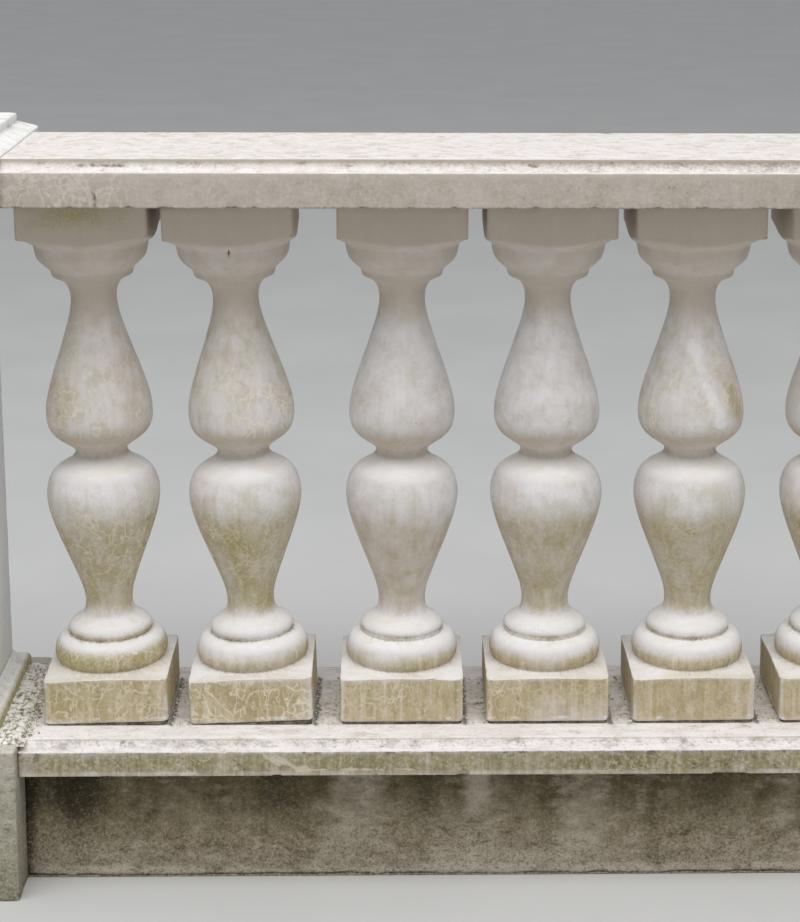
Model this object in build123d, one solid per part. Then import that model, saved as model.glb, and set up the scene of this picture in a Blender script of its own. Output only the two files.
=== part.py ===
from build123d import *
import math
import os

# One whole bay of a cast concrete balustrade: a rendered dwarf wall carries a
# bottom rail, eight double-bulb balusters and a top rail between two piers.
# Millimetres, +Z up, +Y to the back. Origin: middle of the bay at ground level.

os.makedirs("parts", exist_ok=True)

# ---- levels above the ground
WALL_H = 150.8            # dwarf wall
BOTTOM_RAIL_H = 39.7
TOP_RAIL_H = 54.7
BED = 3.0                 # mortar bed under and over each baluster
BALUSTER_H = 642.6
Z_SEAT = WALL_H + BOTTOM_RAIL_H                 # 190.5, seat of the balusters
Z_SOFFIT = Z_SEAT + BALUSTER_H + 2 * BED        # 839.1, underside of the top rail

# ---- run of balusters
COUNT = 8
PITCH = 180.0
# small setting-out errors of the built row, left to right
OFFSET = [1.5, -2.2, 0.5, -1.0, -2.0, -2.0, -1.5, 0.0]
# the two at the left have settled and lean to the left; degrees from plumb
LEAN = [1.4, 2.0, 0.0, 0.25, 0.6, 0.3, 0.0, 0.0]
ROW_Y = 0.0               # the row stands on the middle line of the rails

# ---- baluster
BLOCK = 150.0             # square base block
ABACUS = 154.4            # square top slab
PRISM_SPLIT = 587.0       # below it the plan limit is BLOCK, above it ABACUS
EDGE_R = 4.5              # worn upright edges of block and slab

# ---- rails: raised panel, hollow, upright face
PANEL_HALF = 112.5
RAIL_HALF = 132.5
TOP_FACE = 41.2
TOP_QUIRK = 4.0
BOTTOM_FACE = 31.4
BOTTOM_QUIRK = 2.4
WALL_HALF = 91.0

# ---- piers
PIER_X = 887.0
PLINTH_HALF_X = 160.0
PLINTH_HALF_Y = 150.0
PIER_BASE_HALF = 133.0
PIER_BASE_H = 24.0
DIE_HALF = 113.0
CAP_HALF = 160.0
CAP_PANEL_HALF = 137.0
CAP_BED_H = 18.0          # ovolo under the lip, below the level of the rail soffit
CAP_LIP_H = 57.0
CAP_WASH_H = 9.0
CAP_PANEL_H = 10.0
LEFT_DIE_SHIFT = 4.0      # the left die leans outwards by this much over its height


def chain(start, segs):
    """Edges in the XZ plane from start; a segment is a point, an arc or a spline."""
    edges, p = [], start
    for s in segs:
        if s[0] == "line":
            q = s[1]
            edges.append(Line((p[0], 0, p[1]), (q[0], 0, q[1])))
        elif s[0] == "arc":
            m, q = s[1], s[2]
            edges.append(ThreePointArc((p[0], 0, p[1]), (m[0], 0, m[1]), (q[0], 0, q[1])))
        else:
            pts = [p] + list(s[1])
            q = pts[-1]
            edges.append(Spline(*[(a, 0, b) for a, b in pts]))
        p = q
    return edges


# ---------------------------------------------------------------- baluster
H = BALUSTER_H
TURNED = [
    ("line", (113.0, 0.0)),
    ("line", (113.0, 53.6)),
    # slightly domed top of the block
    ("spline", [(95.0, 55.0), (75.0, 57.0), (65.8, 60.8)]),
    # torus
    ("spline", [(68.4, 65.0), (69.3, 70.5), (68.6, 77.5), (65.9, 84.5), (60.6, 90.6), (51.2, 94.6)]),
    # upright fillet, then the bell, lower neck and long lower bulb
    ("line", (51.7, 102.0)),
    ("spline", [(50.2, 105.0), (46.4, 108.9), (41.4, 112.0), (36.4, 115.4), (32.3, 119.6), (29.9, 125.0), (28.9, 131.5),
                (29.2, 140.0), (31.1, 150.0), (34.1, 160.0), (37.6, 170.0), (41.3, 180.0), (45.1, 190.0),
                (48.9, 200.0), (52.8, 210.0), (56.5, 220.0), (60.0, 230.0), (63.2, 240.0), (65.9, 250.0),
                (67.9, 260.0), (68.8, 269.5), (68.3, 279.0), (66.1, 288.5), (62.0, 297.5), (56.0, 304.5),
                (47.6, 310.0), (39.0, 315.2), (33.4, 320.4), (31.3, 325.0)]),
    # pinched waist, then the upper bulb and upper neck
    ("spline", [(33.2, 329.8), (38.4, 334.2), (45.6, 339.2), (52.2, 344.0), (57.8, 349.6), (61.8, 356.4),
                (64.0, 365.0), (64.6, 374.5), (63.8, 384.5), (61.9, 395.0), (59.3, 405.0), (56.4, 415.0),
                (53.2, 425.0), (49.9, 435.0), (46.3, 445.0), (42.8, 455.0), (39.6, 465.0), (36.4, 475.0),
                (33.2, 485.0), (30.5, 495.0), (28.5, 505.0), (27.7, 513.0), (28.0, 520.0), (29.2, 527.0),
                (32.4, 533.6), (37.6, 538.6), (48.4, 543.6)]),
    # upright fillet
    ("line", (50.2, 551.2)),
    # ovolo and upright band
    ("spline", [(53.6, 554.6), (58.2, 558.6), (62.4, 562.6), (65.4, 567.0), (67.0, 572.0), (67.9, 577.0), (68.9, 582.6)]),
    # dished underside of the slab; the flat faces cut it in an arc
    ("spline", [(72.6, 586.2), (77.6, 588.8), (84.5, 592.6), (95.0, 596.8), (113.0, 600.5)]),
    ("line", (113.0, H)),
    ("line", (0.0, H)),
    ("line", (0.0, 0.0)),
]


def rounded_prism(side, z0, z1, r):
    b = Pos(0, 0, (z0 + z1) / 2) * Box(side, side, z1 - z0)
    return fillet(b.edges().filter_by(Axis.Z), r)


turned = revolve(make_face(chain((0.0, 0.0), TURNED)), axis=Axis.Z)
plan = rounded_prism(BLOCK, 0.0, PRISM_SPLIT, EDGE_R) + rounded_prism(ABACUS, PRISM_SPLIT, H, EDGE_R)
baluster = turned & plan


def solid_of(shape):
    s = shape.solids()
    assert len(s) == 1, len(s)
    return s[0]


def slab(x0, x1, z0, z1, half_y, y=0.0):
    return Pos((x0 + x1) / 2, y, (z0 + z1) / 2) * Box(x1 - x0, 2 * half_y, z1 - z0)


parts = {}
for i in range(COUNT):
    x = (i - (COUNT - 1) / 2) * PITCH + OFFSET[i]
    a = LEAN[i]
    if a == 0.0:
        b = Pos(x, ROW_Y, Z_SEAT + BED) * baluster
        low = slab(x - BLOCK / 2 + 2.5, x + BLOCK / 2 - 2.5, Z_SEAT, Z_SEAT + BED, BLOCK / 2 - 2.5, ROW_Y)
        top = slab(x - ABACUS / 2 + 2.5, x + ABACUS / 2 - 2.5, Z_SOFFIT - BED, Z_SOFFIT, ABACUS / 2 - 2.5, ROW_Y)
    else:
        # turn about the middle of the foot, then share out what is left of the beds
        t = math.radians(a)
        lo = -abs(BLOCK / 2 * math.sin(t))
        hi = H * math.cos(t) + abs(ABACUS / 2 * math.sin(t))
        dz = Z_SEAT + (Z_SOFFIT - Z_SEAT - (hi - lo)) / 2 - lo
        b = Pos(x, ROW_Y, dz) * (Rot(0, -a, 0) * baluster)

        def wedge(xa, xb, zflat, up):
            # flat side on the rail, sloped side on the tilted end of the casting
            zc = dz + (H * math.cos(t) if up else 0.0)
            xc = x - (H * math.sin(t) if up else 0.0)
            za = zc + (xa - xc) * math.tan(t)
            zb = zc + (xb - xc) * math.tan(t)
            half = (ABACUS if up else BLOCK) / 2 - 2.5
            y = ROW_Y + half
            f = make_face([Line((xa, y, zflat), (xb, y, zflat)), Line((xb, y, zflat), (xb, y, zb)),
                           Line((xb, y, zb), (xa, y, za)), Line((xa, y, za), (xa, y, zflat))])
            return extrude(f, amount=2 * half, dir=(0, -1, 0))

        s = math.sin(t) * H
        low = wedge(x - BLOCK / 2 + 2.5, x + BLOCK / 2 - 2.5, Z_SEAT, False)
        top = wedge(x - s - ABACUS / 2 + 2.5, x - s + ABACUS / 2 - 2.5, Z_SOFFIT, True)
    parts[f"baluster_{i + 1}"] = b
    parts[f"lower_bed_{i + 1}"] = low
    parts[f"upper_bed_{i + 1}"] = top

# ---------------------------------------------------------------- rails and dwarf wall
LEFT_LIP = -PIER_X + CAP_HALF       # faces the rails run between
RIGHT_LIP = PIER_X - CAP_HALF
LEFT_PLINTH = -PIER_X + PLINTH_HALF_X
RIGHT_PLINTH = PIER_X - PLINTH_HALF_X


def rail(x0, x1, z0, face, quirk, height):
    """Upright face, hollow, small quirk and raised flat panel, the same at front and back."""
    r = 1.6
    right = chain((0.0, 0.0), [
        ("line", (RAIL_HALF - r, 0.0)),
        ("line", (RAIL_HALF, r)),
        ("line", (RAIL_HALF, face - r)),
        ("line", (RAIL_HALF - r, face)),
        ("arc", ((RAIL_HALF + PANEL_HALF) / 2 - 3.0, face + (height - quirk - face) * 0.30),
                (PANEL_HALF, height - quirk)),
        ("line", (PANEL_HALF, height - 1.0)),
        ("line", (PANEL_HALF - 1.0, height)),
        ("line", (0.0, height)),
        ("line", (0.0, 0.0)),
    ])
    half = make_face(right)
    sec = half + half.mirror(Plane.YZ)
    sec = Pos(x0, 0, z0) * (Rot(0, 0, 90) * sec)
    return extrude(sec, amount=x1 - x0, dir=(1, 0, 0))


parts["dwarf_wall"] = slab(LEFT_PLINTH, RIGHT_PLINTH, 0.0, WALL_H, WALL_HALF)
parts["bottom_rail"] = rail(LEFT_PLINTH, RIGHT_PLINTH, WALL_H, BOTTOM_FACE, BOTTOM_QUIRK, BOTTOM_RAIL_H)
parts["top_rail"] = rail(LEFT_LIP, RIGHT_LIP, Z_SOFFIT, TOP_FACE, TOP_QUIRK, TOP_RAIL_H)


# ---------------------------------------------------------------- piers
def mitred(segs, height):
    """Square in plan: a moulded section run along X and along Y, and what they share."""
    half = make_face(chain((0.0, 0.0), segs + [("line", (0.0, height)), ("line", (0.0, 0.0))]))
    sec = half + half.mirror(Plane.YZ)
    run_y = extrude(sec, amount=200, dir=(0, 1, 0), both=True)
    run_x = Rot(0, 0, 90) * run_y
    return run_y & run_x


PB = PIER_BASE_HALF
pier_base = mitred([
    ("line", (PB - 1.5, 0.0)),
    ("line", (PB, 1.5)),
    ("line", (PB, 9.0)),
    ("arc", (PB - 1.8, 13.2), (PB - 6.0, 15.0)),
    ("line", (PB - 9.0, 15.0)),
    ("arc", (DIE_HALF + 6.5, 17.6), (DIE_HALF + 1.5, PIER_BASE_H)),
], PIER_BASE_H)

CB = CAP_BED_H
CAP_H = CAP_BED_H + CAP_LIP_H + CAP_WASH_H + CAP_PANEL_H
cap = mitred([
    ("line", (DIE_HALF + 10.0, 0.0)),
    ("line", (DIE_HALF + 10.0, 3.0)),
    ("arc", (DIE_HALF + 20.5, 7.0), (DIE_HALF + 25.0, CB)),
    ("line", (CAP_HALF - 1.6, CB)),
    ("line", (CAP_HALF, CB + 1.6)),
    ("line", (CAP_HALF, CB + CAP_LIP_H - 1.6)),
    ("line", (CAP_HALF - 1.6, CB + CAP_LIP_H)),
    ("line", (CAP_PANEL_HALF, CB + CAP_LIP_H + CAP_WASH_H)),
    ("line", (CAP_PANEL_HALF, CAP_H - 1.5)),
    ("line", (CAP_PANEL_HALF - 1.5, CAP_H)),
], CAP_H)

Z_DIE = Z_SEAT + PIER_BASE_H
Z_CAP = Z_SOFFIT - CAP_BED_H


def plinth(cx):
    b = Pos(cx, 0, Z_SEAT / 2) * Box(2 * PLINTH_HALF_X, 2 * PLINTH_HALF_Y, Z_SEAT)
    return chamfer(b.faces().sort_by(Axis.Z)[-1].edges(), 2.0)


def die(cx, shift):
    pts = [(cx - DIE_HALF, Z_DIE), (cx + DIE_HALF, Z_DIE), (cx + DIE_HALF + shift, Z_CAP), (cx - DIE_HALF + shift, Z_CAP)]
    es = [Line((*(pts[k][0],), DIE_HALF, pts[k][1]), (pts[(k + 1) % 4][0], DIE_HALF, pts[(k + 1) % 4][1])) for k in range(4)]
    b = extrude(make_face(es), amount=2 * DIE_HALF, dir=(0, -1, 0))
    ups = [e for e in b.edges() if abs(e.center().Z - (Z_DIE + Z_CAP) / 2) < 1.0]
    return chamfer(ups, 2.0)


for side, cx, lean in (("left", -PIER_X, -LEFT_DIE_SHIFT), ("right", PIER_X, 0.0)):
    parts[f"{side}_pier_plinth"] = plinth(cx)
    parts[f"{side}_pier_base"] = Pos(cx, 0, Z_SEAT) * pier_base
    parts[f"{side}_pier_die"] = die(cx, lean)
    parts[f"{side}_pier_cap"] = Pos(cx, 0, Z_CAP) * cap

for name, shape in parts.items():
    s = solid_of(shape)
    s.label = name
    export_step(s, f"parts/{name}.step")
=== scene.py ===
import math
import bpy
import numpy as np
from mathutils import Matrix, Vector


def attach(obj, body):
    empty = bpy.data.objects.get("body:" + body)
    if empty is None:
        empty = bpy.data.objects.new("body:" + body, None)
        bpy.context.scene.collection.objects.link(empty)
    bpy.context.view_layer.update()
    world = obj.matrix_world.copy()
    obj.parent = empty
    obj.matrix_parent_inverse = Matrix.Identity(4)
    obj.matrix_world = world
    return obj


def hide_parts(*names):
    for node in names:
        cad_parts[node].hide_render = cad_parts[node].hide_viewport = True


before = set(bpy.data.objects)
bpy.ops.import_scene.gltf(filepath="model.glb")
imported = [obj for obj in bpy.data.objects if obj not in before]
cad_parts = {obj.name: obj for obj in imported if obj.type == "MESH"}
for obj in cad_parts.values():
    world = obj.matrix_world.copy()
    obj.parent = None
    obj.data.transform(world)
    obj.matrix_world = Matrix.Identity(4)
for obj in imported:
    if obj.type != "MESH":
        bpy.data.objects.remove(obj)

# One bay of a weathered cast balustrade. Shapes are written in millimetres in
# the frame of the model (origin at the middle of the bay on the ground, +Y to
# the back) and turned into metres when a mesh is made.

scene = bpy.context.scene
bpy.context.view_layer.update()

# ------------------------------------------------------------------ dimensions
WALL_H, BOTTOM_RAIL_H, TOP_RAIL_H, BED, H = 150.8, 39.7, 54.7, 3.0, 642.6
Z_SEAT = WALL_H + BOTTOM_RAIL_H
Z_SOFFIT = Z_SEAT + H + 2 * BED
PITCH, ROW_Y = 180.0, 0.0
OFFSET = [1.5, -2.2, 0.5, -1.0, -2.0, -2.0, -1.5, 0.0]
LEAN = [1.4, 2.0, 0.0, 0.25, 0.6, 0.3, 0.0, 0.0]
BLOCK, ABACUS, SPLIT = 150.0, 154.4, 587.0
PANEL_HALF, RAIL_HALF = 112.5, 132.5
PIER_X, PLINTH_X, PLINTH_Y, BASE_HALF, BASE_H = 887.0, 160.0, 150.0, 133.0, 24.0
DIE_HALF, CAP_HALF, CAP_PANEL, CAP_BED, CAP_LIP, CAP_WASH, CAP_TOP = 113.0, 160.0, 137.0, 18.0, 57.0, 9.0, 10.0
CAP_H = CAP_BED + CAP_LIP + CAP_WASH + CAP_TOP
Z_DIE, Z_CAP = Z_SEAT + BASE_H, Z_SOFFIT - CAP_BED
LEFT_DIE_SHIFT = -4.0
RUN = PIER_X - CAP_HALF          # the rails run from -RUN to RUN
ROW = [(i - 3.5) * PITCH + OFFSET[i] for i in range(8)]


# ------------------------------------------------------------------ noise
def lattice(ix, iy, iz, seed):
    u = np.uint32
    h = (ix.astype(u) * u(374761393) + iy.astype(u) * u(668265263) + iz.astype(u) * u(2246822519)
         + u((seed * 3266489917 + 12345) & 0xFFFFFFFF))
    h = (h ^ (h >> u(13))) * u(1274126177)
    h = (h ^ (h >> u(16))) * u(2654435761)
    h = h ^ (h >> u(15))
    return h.astype(np.float64) / 4294967295.0


def vnoise(p, cell, seed=0):
    """Smooth noise from -1 to 1; a cell is this many millimetres."""
    q = p / cell + 4096.0
    i = np.floor(q).astype(np.int64)
    f = q - i
    f = f * f * (3.0 - 2.0 * f)
    out = np.zeros(p.shape[:-1])
    for dx in (0, 1):
        wx = f[..., 0] if dx else 1 - f[..., 0]
        for dy in (0, 1):
            wy = f[..., 1] if dy else 1 - f[..., 1]
            for dz in (0, 1):
                wz = f[..., 2] if dz else 1 - f[..., 2]
                out += wx * wy * wz * lattice(i[..., 0] + dx, i[..., 1] + dy, i[..., 2] + dz, seed)
    return out * 2.0 - 1.0


def fbm(p, cell, octaves, seed=0):
    s, a, t = 0.0, 1.0, 0.0
    for k in range(octaves):
        s = s + a * vnoise(p, cell / 2.0 ** k, seed + 17 * k)
        t += a
        a *= 0.55
    return s / t


def step(a, b, x):
    t = np.clip((x - a) / (b - a), 0.0, 1.0)
    return t * t * (3.0 - 2.0 * t)


def bump_at(x, centre, half, soft=1.0):
    """1 near centre, falling to 0 at half away."""
    return np.clip(1.0 - np.abs((x - centre) / half), 0.0, 1.0) ** soft


# ------------------------------------------------------------------ sections
def dense(start, segs, fine=0.5):
    """Points along lines, arcs and splines, about fine millimetres apart."""
    pts, p = [np.array(start, float)], np.array(start, float)
    for s in segs:
        if s[0] == "line":
            ctrl = [p, np.array(s[1], float)]
            seg = np.linspace(ctrl[0], ctrl[1], max(2, int(np.linalg.norm(ctrl[1] - ctrl[0]) / fine) + 1))
        elif s[0] == "arc":
            m, q = np.array(s[1], float), np.array(s[2], float)
            a, b = m - p, q - p
            d = 2.0 * (a[0] * b[1] - a[1] * b[0])
            c = p + np.array([b[1] * a.dot(a) - a[1] * b.dot(b), a[0] * b.dot(b) - b[0] * a.dot(a)]) / d
            t0, tm, t1 = [math.atan2(*(v - c)[::-1]) for v in (p, m, q)]
            if (tm - t0) % (2 * math.pi) > (t1 - t0) % (2 * math.pi):
                span = -((t0 - t1) % (2 * math.pi))
            else:
                span = (t1 - t0) % (2 * math.pi)
            r = np.linalg.norm(p - c)
            t = t0 + np.linspace(0, span, max(3, int(abs(span) * r / fine) + 1))
            seg = c + r * np.stack([np.cos(t), np.sin(t)], 1)
        else:
            ctrl = np.array([p] + [np.array(q, float) for q in s[1]])
            ext = np.vstack([2 * ctrl[0] - ctrl[1], ctrl, 2 * ctrl[-1] - ctrl[-2]])
            seg = [ctrl[0]]
            for k in range(1, len(ext) - 2):
                a, b, c, d = ext[k - 1:k + 3]
                n = max(2, int(np.linalg.norm(c - b) / fine) + 1)
                for t in np.linspace(0, 1, n + 1)[1:]:
                    seg.append(0.5 * (2 * b + (c - a) * t + (2 * a - 5 * b + 4 * c - d) * t * t
                                      + (3 * b - a - 3 * c + d) * t ** 3))
            seg = np.array(seg)
        pts.extend(seg[1:])
        p = seg[-1]
    return np.array(pts)


def smooth_line(v, sigma, closed):
    k = int(3 * sigma) + 1
    w = np.exp(-0.5 * (np.arange(-k, k + 1) / sigma) ** 2)
    w /= w.sum()
    if closed:
        ext = np.concatenate([v[-k:], v, v[:k]])
    else:
        ext = np.concatenate([2 * v[0] - v[k:0:-1], v, 2 * v[-1] - v[-2:-k - 2:-1]])
    return np.stack([np.convolve(ext[:, c], w, "valid") for c in range(v.shape[1])], 1)


def section(start, segs, spacing, bend=9.0, worn=1.4, closed=False):
    """A softened section: its points, and how convex and how hollow it is at each."""
    raw = dense(start, segs)
    keep = np.concatenate([[True], np.linalg.norm(np.diff(raw, axis=0), axis=1) > 1e-6])
    raw = raw[keep]
    if closed and np.linalg.norm(raw[0] - raw[-1]) < 1e-6:
        raw = raw[:-1]
    L = np.concatenate([[0], np.cumsum(np.linalg.norm(np.diff(np.vstack([raw, raw[:1]]) if closed else raw, axis=0), axis=1))])
    n = int(L[-1] / 0.5)
    src = np.vstack([raw, raw[:1]]) if closed else raw
    t = np.linspace(0, L[-1], n + 1)
    p = np.stack([np.interp(t, L, src[:, k]) for k in (0, 1)], 1)
    if closed:
        p = p[:-1]
    q = smooth_line(p, worn / 0.5, closed)
    if not closed:
        q[0], q[-1] = p[0], p[-1]
    nxt = np.roll(q, -1, 0) - q if closed else np.gradient(q, axis=0)
    ang = np.unwrap(np.arctan2(nxt[:, 1], nxt[:, 0]))
    turn = np.diff(np.concatenate([ang, ang[-1:]]))
    if closed:
        turn[-1] = (ang[0] - ang[-1] + math.pi) % (2 * math.pi) - math.pi
    dens = 0.5 / spacing + np.abs(turn) / math.radians(bend)
    c = np.concatenate([[0], np.cumsum(dens)])[:len(q) + (1 if closed else 0)]
    m = max(4, int(round(c[-1])))
    at = np.linspace(0, c[-1], m + 1)
    loop = np.vstack([q, q[:1]]) if closed else q
    wide = smooth_line(turn[:, None], 2.6 / 0.5, closed)[:, 0] * (2.6 / 0.5) * 2.5
    wl = np.append(wide, wide[0]) if closed else wide
    pts = np.stack([np.interp(at, c[:len(loop)], loop[:, k]) for k in (0, 1)], 1)
    ws = np.interp(at, c[:len(loop)], wl)
    if closed:
        pts, ws = pts[:-1], ws[:-1]
    area = 0.5 * np.sum(pts[:, 0] * np.roll(pts[:, 1], -1) - np.roll(pts[:, 0], -1) * pts[:, 1]) if closed else 1.0
    if area < 0:
        pts, ws = pts[::-1], -ws[::-1]
    return pts, np.clip(ws / 0.9, 0, 1), np.clip(-ws / 0.9, 0, 1)


# places along one side of a square, closer together near its corners
SIDE = np.concatenate([np.linspace(-1, -0.87, 6)[:-1], np.linspace(-0.87, 0.87, 23)[:-1], np.linspace(0.87, 1, 6)[:-1]])


def outline(a, b, rc, side=SIDE):
    """Counter-clockwise points of a rectangle 2a by 2b with rounded corners, and each point's distance to a corner."""
    pts, near = [], []
    for (cx, cy), (dx, dy) in (((1, 0), (0, 1)), ((0, 1), (-1, 0)), ((-1, 0), (0, -1)), ((0, -1), (1, 0))):
        for u in side:
            x, y = (cx + dx * u) * a, (cy + dy * u) * b
            near.append((1 - abs(u)) * (a if dx else b))
            mx, my = a - rc, b - rc
            if abs(x) > mx and abs(y) > my:
                ox, oy = math.copysign(mx, x), math.copysign(my, y)
                d = math.hypot(x - ox, y - oy)
                x, y = ox + (x - ox) * rc / d, oy + (y - oy) * rc / d
            pts.append((x, y))
    return np.array(pts), np.array(near)


# ------------------------------------------------------------------ meshes
def grid_normals(V, closed_rows=False):
    du = np.roll(V, -1, 1) - np.roll(V, 1, 1)
    dv = np.empty_like(V)
    dv[1:-1] = V[2:] - V[:-2]
    dv[0], dv[-1] = V[1] - V[0], V[-1] - V[-2]
    n = np.cross(du, dv)
    return n / np.maximum(np.linalg.norm(n, axis=-1, keepdims=True), 1e-9)


def wear(V, n, arris, seed, grain=0.25, chip=2.6, chips=0.30, round_off=0.5):
    """How far inwards each point has worn, in millimetres."""
    d = grain * (0.9 + 0.5 * fbm(V, 55.0, 3, seed) + 0.4 * fbm(V, 13.0, 2, seed + 5))
    d = d + 0.5 * step(0.50, 0.85, vnoise(V, 7.0, seed + 9))
    bite = fbm(V, 17.0, 3, seed + 31) + 0.35 * vnoise(V, 90.0, seed + 41)
    d = d + arris * (round_off + chip * step(chips, chips + 0.38, bite) + 0.6 * step(0.0, 0.6, vnoise(V, 9.0, seed + 51)))
    return np.maximum(d, 0.0)


def make_piece(name, V, material, node=None, attrs=None, ends=True):
    """A closed tube of rings of points, fanned shut at both ends."""
    T, N = V.shape[:2]
    idx = np.arange(T * N).reshape(T, N)
    nx = np.roll(idx, -1, 1)
    quads = np.stack([idx[:-1], nx[:-1], nx[1:], idx[1:]], -1).reshape(-1, 4)
    verts = V.reshape(-1, 3)
    a, b = T * N, T * N + 1
    verts = np.vstack([verts, V[0].mean(0), V[-1].mean(0)])
    tris = np.vstack([
        np.stack([np.full(N, a), nx[0], idx[0]], 1),
        np.stack([np.full(N, b), idx[-1], nx[-1]], 1)])
    t3 = np.vstack([quads[:, [0, 1, 2]], quads[:, [0, 2, 3]], tris])
    p = verts - verts.mean(0)
    vol = np.einsum("ij,ij->i", p[t3[:, 0]], np.cross(p[t3[:, 1]], p[t3[:, 2]])).sum() / 6
    if vol < 0:
        quads, tris = quads[:, ::-1], tris[:, ::-1]
    full = {}
    for k, v in (attrs or {}).items():
        v = np.broadcast_to(v, (T, N)) if np.ndim(v) != 1 else np.broadcast_to(np.asarray(v)[:, None], (T, N))
        full[k] = np.concatenate([v.reshape(-1), [v[0].mean(), v[-1].mean()]])
    return mesh_object(name, verts, quads, tris, material, node, full)


def mesh_object(name, verts, quads, tris, material, node, attrs):
    me = bpy.data.meshes.new(name)
    me.vertices.add(len(verts))
    me.vertices.foreach_set("co", (verts * 0.001).astype(np.float32).ravel())
    loops = np.concatenate([np.asarray(quads).ravel(), np.asarray(tris).ravel()]).astype(np.int32)
    nq, nt = len(quads), len(tris)
    me.loops.add(len(loops))
    me.loops.foreach_set("vertex_index", loops)
    me.polygons.add(nq + nt)
    me.polygons.foreach_set("loop_start", np.concatenate([np.arange(nq) * 4, nq * 4 + np.arange(nt) * 3]).astype(np.int32))
    me.polygons.foreach_set("use_smooth", np.ones(nq + nt, bool))
    me.update(calc_edges=True)
    me.validate()
    for k, v in attrs.items():
        at = me.attributes.new(k, "FLOAT", "POINT")
        at.data.foreach_set("value", np.clip(v, 0, 1).astype(np.float32))
    me.materials.append(material)
    ob = bpy.data.objects.new(name, me)
    scene.collection.objects.link(ob)
    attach(ob, "root")
    if node:
        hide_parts(node)
    return ob


# ------------------------------------------------------------------ materials
def srgb(r, g, b):
    def f(c):
        c /= 255.0
        return c / 12.92 if c <= 0.04045 else ((c + 0.055) / 1.055) ** 2.4
    return (f(r), f(g), f(b), 1.0)


class Mat:
    """A small helper that writes a node tree."""

    def __init__(self, name):
        self.m = bpy.data.materials.new(name)
        self.m.use_nodes = True
        self.t = self.m.node_tree
        self.bsdf = self.t.nodes["Principled BSDF"]
        self.obj = self.new("ShaderNodeTexCoord").outputs["Object"]
        self.nz = None

    def new(self, kind, **props):
        n = self.t.nodes.new(kind)
        for k, v in props.items():
            setattr(n, k, v)
        return n

    def put(self, sock, v):
        if isinstance(v, bpy.types.NodeSocket):
            self.t.links.new(v, sock)
        else:
            sock.default_value = v

    def upward(self):
        """How much the surface faces up, from the shape's own normal."""
        sep = self.new("ShaderNodeSeparateXYZ")
        self.put(sep.inputs[0], self.new("ShaderNodeNewGeometry").outputs["Normal"])
        return sep.outputs["Z"]

    def attr(self, name):
        return self.new("ShaderNodeAttribute", attribute_name=name).outputs["Fac"]

    def op(self, kind, a, b=0.0, clamp=False):
        n = self.new("ShaderNodeMath", operation=kind, use_clamp=clamp)
        self.put(n.inputs[0], a)
        self.put(n.inputs[1], b)
        return n.outputs[0]

    def add(self, a, b):
        return self.op("ADD", a, b)

    def mul(self, a, b):
        return self.op("MULTIPLY", a, b)

    def inv(self, a):
        return self.op("SUBTRACT", 1.0, a, True)

    def ramp(self, x, a, b, lo_=0.0, hi_=1.0, kind="SMOOTHSTEP"):
        n = self.new("ShaderNodeMapRange", interpolation_type=kind, clamp=True)
        self.put(n.inputs["Value"], x)
        for k, v in zip(("From Min", "From Max", "To Min", "To Max"), (a, b, lo_, hi_)):
            self.put(n.inputs[k], v)
        return n.outputs["Result"]

    def scaled(self, sx, sy, sz, shift=(0, 0, 0)):
        n = self.new("ShaderNodeMapping")
        self.put(n.inputs["Vector"], self.obj)
        n.inputs["Scale"].default_value = (sx, sy, sz)
        n.inputs["Location"].default_value = shift
        return n.outputs["Vector"]

    def noise(self, scale, detail=3.0, rough=0.55, vec=None, dist=0.0):
        n = self.new("ShaderNodeTexNoise")
        self.put(n.inputs["Vector"], vec if vec is not None else self.obj)
        n.inputs["Scale"].default_value = scale
        n.inputs["Detail"].default_value = detail
        n.inputs["Roughness"].default_value = rough
        n.inputs["Distortion"].default_value = dist
        return n.outputs["Fac"]

    def contour(self, n, level, width):
        """A thin wandering line where a noise passes one height."""
        return self.inv(self.ramp(self.op("ABSOLUTE", self.add(n, -level)), 0.2 * width, width))

    def mix(self, fac, a, b, kind="MIX"):
        n = self.new("ShaderNodeMix", data_type="RGBA", blend_type=kind, clamp_factor=True)
        self.put(n.inputs["Factor"], fac)
        self.put(n.inputs[6], a)
        self.put(n.inputs[7], b)
        return n.outputs[2]

    def film(self, name, noise, spread, edge=(0.15, 0.85)):
        """A layer held where an attribute says, with a broken edge."""
        a = self.attr(name)
        f = self.ramp(self.add(a, self.mul(self.add(noise, -0.5), spread)), edge[0], edge[1])
        return self.mul(f, self.ramp(a, 0.0, 0.10))

    def finish(self, colour, rough, height, strength, distance=0.001):
        self.put(self.bsdf.inputs["Base Color"], colour)
        self.put(self.bsdf.inputs["Roughness"], rough)
        self.bsdf.inputs["Specular IOR Level"].default_value = 0.25
        b = self.new("ShaderNodeBump")
        b.inputs["Strength"].default_value = strength
        b.inputs["Distance"].default_value = distance
        self.put(b.inputs["Height"], height)
        self.put(self.bsdf.inputs["Normal"], b.outputs["Normal"])
        return self.m


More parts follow.
